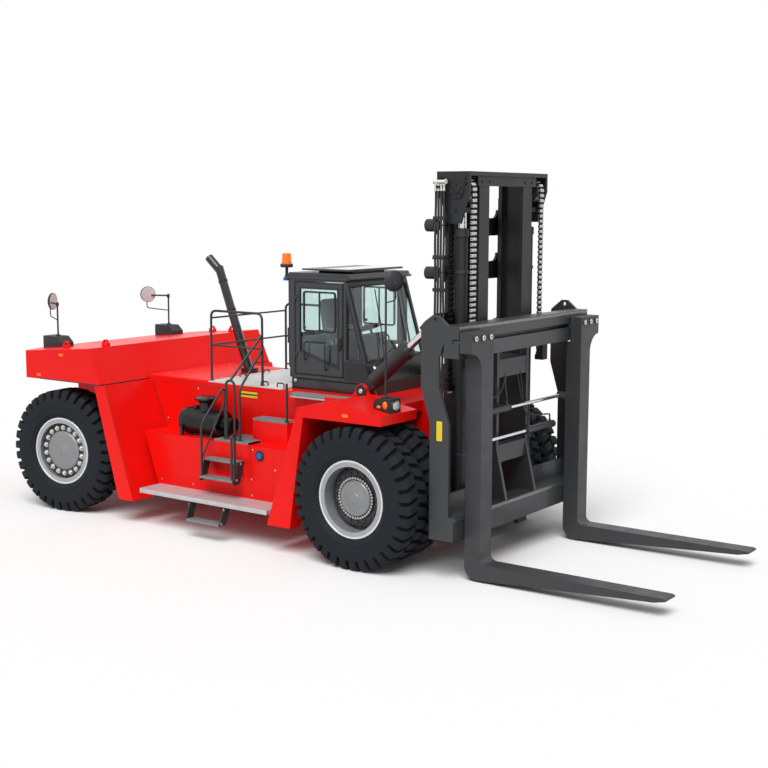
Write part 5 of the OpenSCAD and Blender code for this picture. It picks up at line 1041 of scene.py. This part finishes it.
class FORKLIFT_OT_cab_trim(bpy.types.Operator):
    """Cab trim: seals, wipers, bars, roof lip and pane, skirt, apron, lining, beacon and instruments"""
    bl_idname = "forklift.cab_trim"
    bl_label = "Cab trim"

    def execute(self, context):
        screen = rounded(-CAB_HW + 0.04, CAB_HW - 0.04, 2.79, 3.94, 0.03)
        corner = np.array([(5.097, 2.8), (5.415, 2.8), (5.097, 3.849)])
        rear = rounded(-CAB_HW + 0.08, CAB_HW - 0.08, 3.12, 3.94, 0.03)
        seals = [on_screen(frame_ring(screen, 0.03, -0.006, 0.012, "x")),
                 frame_ring(rear, 0.03, CAB_X0 - 0.006, CAB_X0 + 0.012, "x"),
                 both(frame_ring(inset(corner, -0.008), 0.024, 0.772, 0.806, "y"))]
        piece("screen_seals", seals, "hose")
        wipers = []
        for y in (-0.35, 0.35):
            wipers.append(on_screen(tube([(0.03, y, 2.78), (0.035, y + 0.12, 3.3), (0.03, y + 0.16, 3.5)],
                    0.008, 8)))
            wipers.append(on_screen(tube([(0.022, y + 0.1, 3.02), (0.022, y + 0.2, 3.86)], 0.009, 8)))
            wipers.append(on_screen(disc((0, y, 2.76), (1, 0, 0.25), 0.025, 0.05, 0.006, 16)))
        bars = [tube(bent([(3.99, s * 0.74, 2.6), (3.94, s * 0.74, 2.62), (3.94, s * 0.74, 3.98),
                           (3.99, s * 0.74, 4.0)], 0.04, 5), 0.016) for s in (-1, 1)]
        box = [block((3.925, -0.79, 3.0), (3.985, -0.7, 3.24), 0.02, "z")]
        piece("cab_rods", wipers + bars + box, "abs")
        lip = [block((3.95, s * 0.792, 4.02), (5.17, s * 0.81, 4.055), 0.006, "x") for s in (-1, 1)]
        lip.append(slab([(5.17, 4.022), (5.2, 4.03), (5.2, 4.05), (5.17, 4.06)], -0.8, 0.8, "y", 0.003))
        skirt = [slab([(4.0, 2.31), (5.5, 2.31), (5.44, 2.45), (4.06, 2.45)], s * 0.76 - 0.012,
                      s * 0.76 + 0.012, "y", 0.004) for s in (-1, 1)]
        piece("cab_lips", lip + skirt, "cab_enamel")
        heads = [both(bolts([(x, 0.772, 2.42) for x in (4.08, 5.42)], ACROSS, 0.02, 0.02))]
        piece("skirt_bolts", heads, "zinc")
        beacon_base = [lathe([(0, 0), (0.088, 0), (0.1, 0.012), (0.1, 0.05), (0.08, 0.062), (0, 0.062)],
                             (BEACON_X, BEACON_Y, 4.18), UP, 36)]
        beacon_base.append(lathe([(0, 0), (0.024, 0), (0.024, 0.17), (0, 0.17)], (BEACON_X, BEACON_Y, 4.0195),
                                 UP, 20))
        beacon_base.append(block((3.876, -0.7785, 4.0165), (3.9475, -0.7315, 4.0625), 0.004, "z", 0.002))
        piece("beacon_base", beacon_base, "abs")
        cheek = [(5.065, 2.49), (5.545, 2.49), (5.458, 2.775), (5.065, 2.775)]
        sill = block((0.0, -CAB_HW + 0.01, 2.49), (0.006, CAB_HW - 0.01, 2.77), 0.002, "y", 0.001)
        apron = [both(slab(cheek, CAB_HW, CAB_HW + 0.006, "y", 0.002)), on_screen(sill)]
        piece("cab_apron", apron, "gloss_black")
        lining = [block((CAB_X0 + 0.051, -0.72, 2.53), (CAB_X0 + 0.06, 0.72, 3.09), 0.004, "z", 0.002),
                  block((CAB_X0 + 0.07, -0.73, CAB_Z0 + 0.0505), (5.3, 0.73, CAB_Z0 + 0.058), 0.004, "z",
                        0.002)]
        piece("cab_lining", lining, "lining")
        pane = [block((4.6, -0.7, 4.1705), (5.08, 0.7, 4.178), 0.004, "z", 0.002)]
        piece("roof_pane", pane, "filmed_glass")
        lens = [lathe([(0.079, 0), (0.079, 0.02), (0.074, 0.03), (0.07, 0.145), (0.06, 0.158), (0, 0.163)],
                      (BEACON_X, BEACON_Y, 4.24), UP, 36)]
        lens.append(lathe([(0.0785, 0.02), (0.081, 0.024), (0.081, 0.028), (0.078, 0.032)],
                          (BEACON_X, BEACON_Y, 4.24), UP, 36))
        piece("beacon_lens", lens, "amber")
        blue = [lathe([(0, 0), (0.05, 0), (0.055, 0.012), (0.055, 0.05), (0, 0.05)],
                      (BEACON_X, BEACON_Y, 3.975), UP, 24)]
        piece("blue_lamp", blue, "blue")
        panel = [block((5.0, -0.3, 3.0), (5.06, 0.3, 3.16), 0.02, "y"),
                 block((4.98, -0.62, 2.9), (5.04, -0.4, 3.25), 0.02, "z"),
                 block((4.55, -0.62, 2.62), (5.0, -0.36, 2.98), 0.04, "x", 0.01)]
        for k, y in enumerate((-0.58, -0.52, -0.46, -0.4)):
            panel.append(tube([(4.72 + 0.03 * k, y, 2.97), (4.7 + 0.03 * k, y, 3.08)], (0.008, 0.014), 10))
        wheel = [tube([(4.94, 0, 3.2), (4.94, 0, 3.25)], 0.05, 20)]
        piece("dash_parts", panel + wheel, "abs")
        # The displays wear the mirror finish: their pale grey is a painted reflection
        display = [block((5.0 - 0.002, -0.14, 3.03), (5.0, 0.14, 3.14), 0.0008, "y", 0.0005),
                   block((4.976, -0.6, 2.95), (4.98, -0.42, 3.2), 0.0015, "z", 0.0008)]
        piece("displays", display, "mirror")
        return {"FINISHED"}


def cushion(lo, hi, crown, seams):
    """Padded block: a rounded box p = c + h s(q) over the sphere q, s(q) = q / |q|_6, crowned and grooved.

    The crown lifts the top by crown (1 - x^2)(1 - y^2), less a groove at each seam k of
    0.25 crown exp(-((y - k) / 0.05)^2).
    """
    u = np.linspace(0, math.pi, 41)[:, None]
    v = np.linspace(0, TAU, 64, endpoint=False)[None, :]
    q = np.stack([np.sin(u) * np.cos(v), np.sin(u) * np.sin(v), np.cos(u) + 0 * v], -1)
    s = q / np.sum(np.abs(q) ** 6, -1, keepdims=True) ** (1 / 6)
    lo, hi = np.asarray(lo, float), np.asarray(hi, float)
    p = (lo + hi) / 2 + s * (hi - lo) / 2
    swell = np.clip(1 - s[..., 0] ** 2, 0, 1) * np.clip(1 - s[..., 1] ** 2, 0, 1)
    grooves = sum(np.exp(-((s[..., axis] - k) / 0.05) ** 2) for k in seams for axis in (1, 0))
    p[..., 2] += s[..., 2] * crown * (swell - 0.25 * np.clip(grooves, 0, 1))
    return grid(p, False, True)


class FORKLIFT_OT_seat(bpy.types.Operator):
    """Padded driver's seat: crowned cushion and back with seams, arm rests and pedestal"""
    bl_idname = "forklift.seat"
    bl_label = "Seat"

    def execute(self, context):
        x, w, z = SEAT_X - SEAT_W / 2, SEAT_W / 2, CAB_Z0 + 0.05
        base = z + 0.364
        pads = [cushion((x, -w, base), (x + SEAT_W, w, base + 0.125), 0.012, (-0.55, 0.55))]
        # The back is drawn lying, then stood up with a lean
        half, lean = 0.325, -0.11 / 0.65
        p, faces = cushion((-half, -w + 0.01, 0), (half, w - 0.01, 0.12), 0.014, (-0.55, 0.55))
        level = x + 0.004 + p[:, 2] + lean * (p[:, 0] + half)
        pads.append((np.stack([level, p[:, 1], base + 0.13 + half + p[:, 0] * 0.985], 1), faces))
        for s in (-1, 1):
            pads.append(cushion((x + 0.06, s * w - 0.035, base + 0.29), (x + 0.4, s * w + 0.035, base + 0.35),
                                0.004, ()))
        seat = piece("seat_pads", pads, "cloth", stands_for=("cab_seat",), crease=60)
        foot = [block((SEAT_X - 0.156, -0.156, z), (SEAT_X + 0.156, 0.156, base + 0.01), 0.03, "z", 0.01),
                block((SEAT_X - 0.22, -0.2, base - 0.05), (SEAT_X + 0.22, 0.2, base + 0.01), 0.03, "z", 0.01)]
        piece("seat_foot", foot, "lining")
        return {"FINISHED"}


class FORKLIFT_OT_lamps(bpy.types.Operator):
    """Lenses and bezels of the front and rear lamp boxes, and the amber reflectors"""
    bl_idname = "forklift.lamps"
    bl_label = "Lamps"

    def execute(self, context):
        dome = [(0, 0.022), (0.5, 0.018), (0.86, 0.008), (1.0, 0)]
        side_lens = lathe([(0.055 * a, h) for a, h in dome[::-1]], (0, 0, 0), ACROSS, 28)
        amber = [placed(side_lens, (6.57, 1.83, 2.37), (0.75, 1, 1)),
                 placed(side_lens, (6.46, 1.83, 2.34), (0.65, 0.7, 0.42))]
        back_lens = lathe([(0.05 * a, h) for a, h in dome[::-1]], (0, 0, 0), (-1, 0, 0), 28)
        amber.append(placed(back_lens, (-1.04, TAIL_LAMPS_Y[0], TAIL_LAMP_Z)))
        # The reflectors wear the amber finish, whose faint glow is painted light on them
        marks = [slab(rounded(x - 0.05, x + 0.05, z - 0.022, z + 0.022, 0.008), y, y + 0.008, "y", 0.003)
                 for x, y, z in ((6.06, 2.08, 2.206), (-0.436, 2.1, 2.29), (0.135, 2.1, 2.66))]
        piece("amber_lenses", [both(*amber, *marks)], "amber")
        red = [placed(back_lens, (-1.04, TAIL_LAMPS_Y[1], TAIL_LAMP_Z))]
        piece("tail_lenses", [both(*red)], "red_lens")
        ring = [(0.062, 0), (0.078, 0.004), (0.078, 0.02), (0.07, 0.026), (0.062, 0.02)]
        bezels = [lathe(ring, HEADLAMP, ALONG, 36)]
        bezels += [lathe([(r * 0.78, h * 0.7) for r, h in ring], (-1.038, y, TAIL_LAMP_Z), (-1, 0, 0), 32)
                   for y in TAIL_LAMPS_Y]
        piece("lamp_bezels", [both(*bezels)], "chrome")
        clear = [lathe([(0.064, 0.01), (0.05, 0.02), (0.03, 0.026), (0, 0.029)], HEADLAMP, ALONG, 32)]
        piece("headlamp_lenses", [both(*clear)], "clear_lens")
        return {"FINISHED"}


class FORKLIFT_OT_mirrors(bpy.types.Operator):
    """Round mirrors: dished backs, silvered glass and bent arms on all four corners"""
    bl_idname = "forklift.mirrors"
    bl_label = "Mirrors"

    def execute(self, context):
        backs, glasses = [], []
        # Post, its foot, middle of the disc, turn of its axle and the way the glass looks along it
        posts = ((6.49, 1.7, 2.46, (6.56, 1.6, 4.1), 24, -1),
                 (-0.8, 1.35, 2.868, (-1.15, 1.155, 3.44), -22, 1))
        for x, y, foot, centre, turn, look in posts:
            axle = np.array([math.cos(math.radians(turn)), math.sin(math.radians(turn)), 0]) * look
            backs.append(lathe([(0, 0.05), (0.06, 0.048), (0.12, 0.036), (0.147, 0.016), (0.15, 0),
                                (0.15, -0.018), (0.142, -0.02)], centre, -axle, 44))
            glasses.append(lathe([(0.1425, 0.0205), (0.08, 0.024), (0, 0.0255)], centre, axle, 44))
            hold = np.array(centre) - 0.05 * axle
            top = centre[2] - 0.02
            backs.append(tube(bent([(x, y, foot), (x, y, top), (hold[0], hold[1], top)], 0.05, 6), 0.0155))
            backs.append(tube(bent([(x, y, top - 0.28), (hold[0], hold[1], top - 0.24),
                                    (hold[0], hold[1], top - 0.02)], 0.05, 6), 0.01, 10))
            backs.append(lathe([(0.0155, 0), (0.04, 0.002), (0.04, 0.014), (0.022, 0.03), (0.0155, 0.032)],
                               (x, y, foot), UP, 20))
            backs.append(disc((x, y, top - 0.04), UP, 0.028, 0.07, 0.006, 20))
        piece("mirror_backs", [both(*backs)], "abs", stands_for=("mirrors",))
        # The glass's pale grey is a painted reflection of the white surround
        piece("mirror_glass", [both(*glasses)], "mirror")
        return {"FINISHED"}


class FORKLIFT_OT_hull_trim(bpy.types.Operator):
    """Hull trim: joints, painted shade lines under the deck edge and in the pillar's crease, screws, handles,
    filler cap, edge mark, tow pin, cleaner and exhaust parts
    """
    bl_idname = "forklift.hull_trim"
    bl_label = "Hull trim"

    def execute(self, context):
        joints_and_shade_lines = [block((x - 0.003, 1.5692, 0.64), (x + 0.003, 1.5712, 1.45), 0.0008, "z", 0.0005)
                 for x in (3.83, 4.29)]
        # Painted shadow: a dark line on the hull wall under the deck's edge
        joints_and_shade_lines.append(block((1.06, 0.9992, 2.2), (3.98, 1.0012, 2.206), 0.0008, "x", 0.0005))
        joints_and_shade_lines.append(slab([(1.16, 2.19), (1.168, 2.19), (1.72, 0.62), (1.712, 0.62)], 2.0798, 2.0812, "y",
                          0.0005))
        joints_and_shade_lines.append(block((-0.4, 2.0995, 2.221), (1.062, 2.1015, 2.237), 0.0008, "x", 0.0005))
        joints_and_shade_lines.append(block((1.061, 1.0, 2.221), (1.0675, 2.0985, 2.237), 0.0008, "y", 0.0005))
        # Painted shade: a dark line in the crease where the pillar's front face meets the hull wall
        joints_and_shade_lines.append(slab([(1.162, 2.19), (1.178, 2.19), (1.438, 1.465), (1.422, 1.465)], 0.9975, 1.0005, "y",
                          0.0005))
        across = block((1.06, -0.99, 2.292), (1.118, 0.99, 2.3), 0.002, "y", 0.001)
        piece("panel_joints_and_shade_lines", [both(*joints_and_shade_lines)] + [across], "hose")
        screws = [(3.874, 1.57, 1.4), (3.843, 1.57, 0.93), (4.324, 1.57, 1.13), (3.85, 1.57, 0.68),
                  (1.9, 1.57, 0.7), (2.6, 1.57, 0.7)]
        walls = [(1.5, 1.0, 1.6), (2.2, 1.0, 2.15)]
        heads = [bolts(places, ACROSS, 0.009, 0.007) for places in (screws, walls)]
        rims = [(x, y, DECK_TOP) for x in (2.35, 3.75) for y in (0.2, 0.6)]
        rims += [(x, 0.75, DECK_TOP) for x in (1.3, 1.9, 2.5, 3.1, 3.7)]
        heads.append(bolts(rims, UP, 0.011, 0.008))
        piece("hull_screws", [both(*heads)], "zinc")
        collar = lathe([(0.0, 0), (0.085, 0), (0.085, 0.012), (0.07, 0.018), (0.06, 0.012), (0.0, 0.012)],
                       FILLER, (0, -1, 0), 36)
        hooks = [staple((x - 0.07, -0.9), (x + 0.07, -0.9), 0.06, 0.03, 0.011) for x in (3.55, 3.88)]
        hatch_grip = [staple((2.55, y - 0.07), (2.55, y + 0.07), 0.05, 0.025, 0.01) for y in (-0.3, 0.3)]
        piece("hull_fittings", [collar] + hooks, "abs")
        piece("hatch_handles", hatch_grip, "abs", "engine_hatch")
        cap = lathe([(0.0, 0.034), (0.03, 0.034), (0.05, 0.03), (0.055, 0.012), (0.0, 0.012)], FILLER,
                    (0, -1, 0), 32)
        piece("filler_cap", [cap], "blue")
        fill = [slab([(1.12, 2.2), (1.56, 2.2), (1.56, 1.44), (1.38, 1.44)], 0.985, 0.998, "y", 0.002)]
        piece("wall_fillers", [both(*fill)], "enamel_red")
        mark = [slab(rounded(3.12, 3.48, 2.1, 2.19, 0.006), 1.0, 1.003, "y", 0.001)]
        piece("edge_mark", [both(*mark)], "vinyl_yellow")
        stripe = [slab([(3.12, 2.134), (3.48, 2.134), (3.48, 2.158), (3.12, 2.158)], 1.0028, 1.004, "y",
                       0.0005)]
        piece("edge_stripe", [both(*stripe)], "hose")
        y, z = CLEANER_Y, CLEANER_Z
        ribs = [lathe([(0.104, 0), (0.118, 0.012), (0.104, 0.0235)], (3.06 + 0.024 * k, y, z), ALONG, 32)
                for k in range(7)]
        ribs.append(lathe([(0, 0), (0.05, 0), (0.056, 0.02), (0.05, 0.05), (0, 0.055)], (2.42, y, z + 0.2),
                          UP, 24))
        ribs.append(lathe([(0.0, -0.005), (0.16, -0.005), (0.2, 0.004), (0.2, 0.02), (0.205, 0.03),
                           (0.209, 0.03), (0.209, -0.02)], (2.25, y, z), (-1, 0, 0), 40))
        ribs.append(block((2.27, -1.53, 1.44), (2.33, -1.48, 1.62), 0.015, "z"))
        ribs += [lathe(hoop(0.2095, 0.007, 0.014, 0.003), (2.3 + 0.034 * k, y, z), ALONG, 48)
                 for k in range(20)]
        piece("cleaner_parts", ribs, "gloss_black")
        straps = [lathe(hoop(0.209, 0.0085, 0.032, 0.002), (x, y, z), ALONG, 48) for x in (2.409, 2.877)]
        straps += [lathe(hoop(0.112, 0.009, 0.018, 0.002), (x, y, z), ALONG, 32) for x in (3.04, 3.228)]
        pin = [lathe([(0, 0), (0.034, 0), (0.038, 0.004), (0.038, 0.5), (0.06, 0.502), (0.06, 0.53),
                      (0.03, 0.54), (0, 0.54)], (-1.09, 0, 1.0), UP, 24)]
        piece("cleaner_straps", straps, "oiled")
        piece("tow_pin", pin, "zinc")
        lean = EXHAUST_BEND - EXHAUST_FOOT
        lean /= np.linalg.norm(lean)
        bands = [lathe(hoop(0.0745, 0.0075, 0.034, 0.004), EXHAUST_FOOT + lean * s, lean, 36)
                 for s in (0.5, 1.1, 1.62)]
        piece("exhaust_bands", bands, "oiled")
        return {"FINISHED"}


class FORKLIFT_OT_tilt_trim(bpy.types.Operator):
    """Tilt cylinders: glands, weld rings, ports with pipes, and pins with bright ends"""
    bl_idname = "forklift.tilt_trim"
    bl_label = "Tilt cylinder trim"

    def execute(self, context):
        way = TILT_EYE - TILT_PIN
        way /= np.linalg.norm(way)
        up = np.cross(way, ACROSS)
        up *= np.sign(up[2])
        for name, side in SIDES.items():
            gland = [lathe([(0.1245, 0), (0.138, 0.005), (0.138, 0.075), (0.126, 0.082), (0.06, 0.086),
                            (0.0565, 0.07)], TILT_PIN + way * 0.95, way, 44),
                     lathe(hoop(0.1245, 0.0055, 0.02, 0.004), TILT_PIN + way * 0.3, way, 44)]
            ports = [lathe([(0.024, -0.01), (0.024, 0.02), (0.018, 0.024), (0.018, 0.045), (0, 0.045)],
                           TILT_PIN + way * s + up * 0.125, up, 14) for s in (0.36, 0.9)]
            pipe = tube(bent([TILT_PIN + way * 0.9 + up * 0.165, TILT_PIN + way * 0.82 + up * 0.17,
                              TILT_PIN + way * 0.42 + up * 0.17, TILT_PIN + way * 0.36 + up * 0.165], 0.04,
                             5), 0.009, 8)
            piece("tilt_glands_" + name, on_side(side, gland + [pipe]), "powder_black", "tilt_barrel_" + name)
            piece("tilt_ports_" + name, on_side(side, ports), "zinc", "tilt_barrel_" + name)
        ends = [both(disc((TILT_PIN[0], 1.147, TILT_PIN[2]), ACROSS, 0.095, 0.014, 0.005, 32))]
        piece("tilt_pin_ends", ends, "gloss_black")
        heads = [both(disc((TILT_PIN[0], 1.16, TILT_PIN[2]), ACROSS, 0.036, 0.012, 0.004, 24))]
        piece("tilt_pin_heads", heads, "zinc")
        eyes = [both(disc((TILT_EYE[0], 1.147, TILT_EYE[2]), ACROSS, 0.06, 0.012, 0.004, 32))]
        piece("tilt_eye_ends", eyes, "zinc", "mast_outer")
        return {"FINISHED"}


class FORKLIFT_OT_stage(bpy.types.Operator):
    """Pale floor, soft lamps and the photograph's camera"""
    bl_idname = "forklift.stage"
    bl_label = "Stage"

    def execute(self, context):
        scene = context.scene
        mesh = bpy.data.meshes.new("floor")
        u = np.array([-FLOOR_HW, FLOOR_HW])
        x, y = np.meshgrid(u, u, indexing="ij")
        points, groups = grid(np.stack([x, y, np.zeros_like(x) - 0.001], -1))
        mesh.from_pydata(points, [], groups[0][:, ::-1].tolist())
        floor = bpy.data.objects.new("floor", mesh)
        scene.collection.objects.link(floor)
        floor.data.materials.append(floor_finish())
        world = bpy.data.worlds.new("studio")
        world.use_nodes = True
        tree = world.node_tree
        rays = add(tree, "ShaderNodeLightPath")
        seen = reckon(tree, "MAXIMUM", rays.outputs["Is Camera Ray"], rays.outputs["Is Glossy Ray"])
        seen = reckon(tree, "MAXIMUM", seen, rays.outputs["Is Transmission Ray"])
        power = ranged(tree, seen, (0.0, 1.0), (SURROUND, 1.0))
        back = tree.nodes["Background"]
        back.inputs["Color"].default_value = (1, 1, 1, 1)
        tree.links.new(power, back.inputs["Strength"])
        scene.world = world
        for name, (place, spread, strength) in SUNS.items():
            lamp = bpy.data.lights.new(name, "SUN")
            lamp.angle, lamp.energy = math.radians(spread), strength
            obj = bpy.data.objects.new(name, lamp)
            obj.matrix_world = looking(place, (0.0, 0.0, 0.0))
            scene.collection.objects.link(obj)
        eye = bpy.data.cameras.new("camera")
        eye.sensor_width, eye.lens = SENSOR_MM, LENS_MM
        obj = bpy.data.objects.new("camera", eye)
        obj.matrix_world = looking(CAMERA_AT, CAMERA_AIM, CAMERA_ROLL)
        scene.collection.objects.link(obj)
        scene.camera = obj
        scene.view_settings.view_transform = "Standard"
        return {"FINISHED"}


def looking(place, aim, roll=0.0):
    """Matrix at a place that looks at an aim: its -Z runs along the line of sight and its Y points up."""
    sight = Vector(aim) - Vector(place)
    turn = sight.to_track_quat("-Z", "Y").to_matrix().to_4x4()
    return Matrix.Translation(place) @ turn @ Matrix.Rotation(roll, 4, "Z")


def floor_finish():
    """Pale studio floor with a faint roll of tone; far out it thins and the white surround takes over."""
    made, tree, shader, place = start("Studio_floor", Specular_IOR_Level=0.1)
    mottle((made, tree, shader, place), ("#F3F3F3", "#F0F0F0"), 9000, (0.75, 0.85))
    away = add(tree, "ShaderNodeVectorMath", {0: place}, operation="LENGTH")
    thin = ranged(tree, away.outputs["Value"], FLOOR_FADE, (1.0, 0.0), interpolation_type="SMOOTHSTEP")
    tree.links.new(thin, shader.inputs["Alpha"])
    return made


class FORKLIFT_PT_panel(bpy.types.Panel):
    """Lists the colours, the sizes and the operators in order"""
    bl_label = "Heavy forklift"
    bl_idname = "FORKLIFT_PT_panel"
    bl_space_type = "VIEW_3D"
    bl_region_type = "UI"
    bl_category = "Forklift"

    def draw(self, context):
        for group in (context.scene.forklift_colours, context.scene.forklift_sizes):
            for key in group.__annotations__:
                self.layout.prop(group, key)
        for operator in OPERATORS:
            self.layout.operator(operator.bl_idname)


OPERATORS = (FORKLIFT_OT_finishes, FORKLIFT_OT_tyres, FORKLIFT_OT_hubs, FORKLIFT_OT_rails, FORKLIFT_OT_steps,
             FORKLIFT_OT_chains, FORKLIFT_OT_hoses, FORKLIFT_OT_mast_trim, FORKLIFT_OT_carriage,
             FORKLIFT_OT_doors, FORKLIFT_OT_cab_trim, FORKLIFT_OT_seat, FORKLIFT_OT_lamps,
             FORKLIFT_OT_mirrors, FORKLIFT_OT_hull_trim, FORKLIFT_OT_tilt_trim, FORKLIFT_OT_stage)
CLASSES = (ForkliftColours, ForkliftSizes, *OPERATORS, FORKLIFT_PT_panel)


def register():
    for cls in CLASSES:
        bpy.utils.register_class(cls)
    bpy.types.Scene.forklift_colours = bpy.props.PointerProperty(type=ForkliftColours)
    bpy.types.Scene.forklift_sizes = bpy.props.PointerProperty(type=ForkliftSizes)


def unregister():
    del bpy.types.Scene.forklift_sizes
    del bpy.types.Scene.forklift_colours
    for cls in reversed(CLASSES):
        bpy.utils.unregister_class(cls)


def main():
    register()
    for operator in OPERATORS:
        group, name = operator.bl_idname.split(".")
        getattr(getattr(bpy.ops, group), name)()


if __name__ == "__main__":
    main()
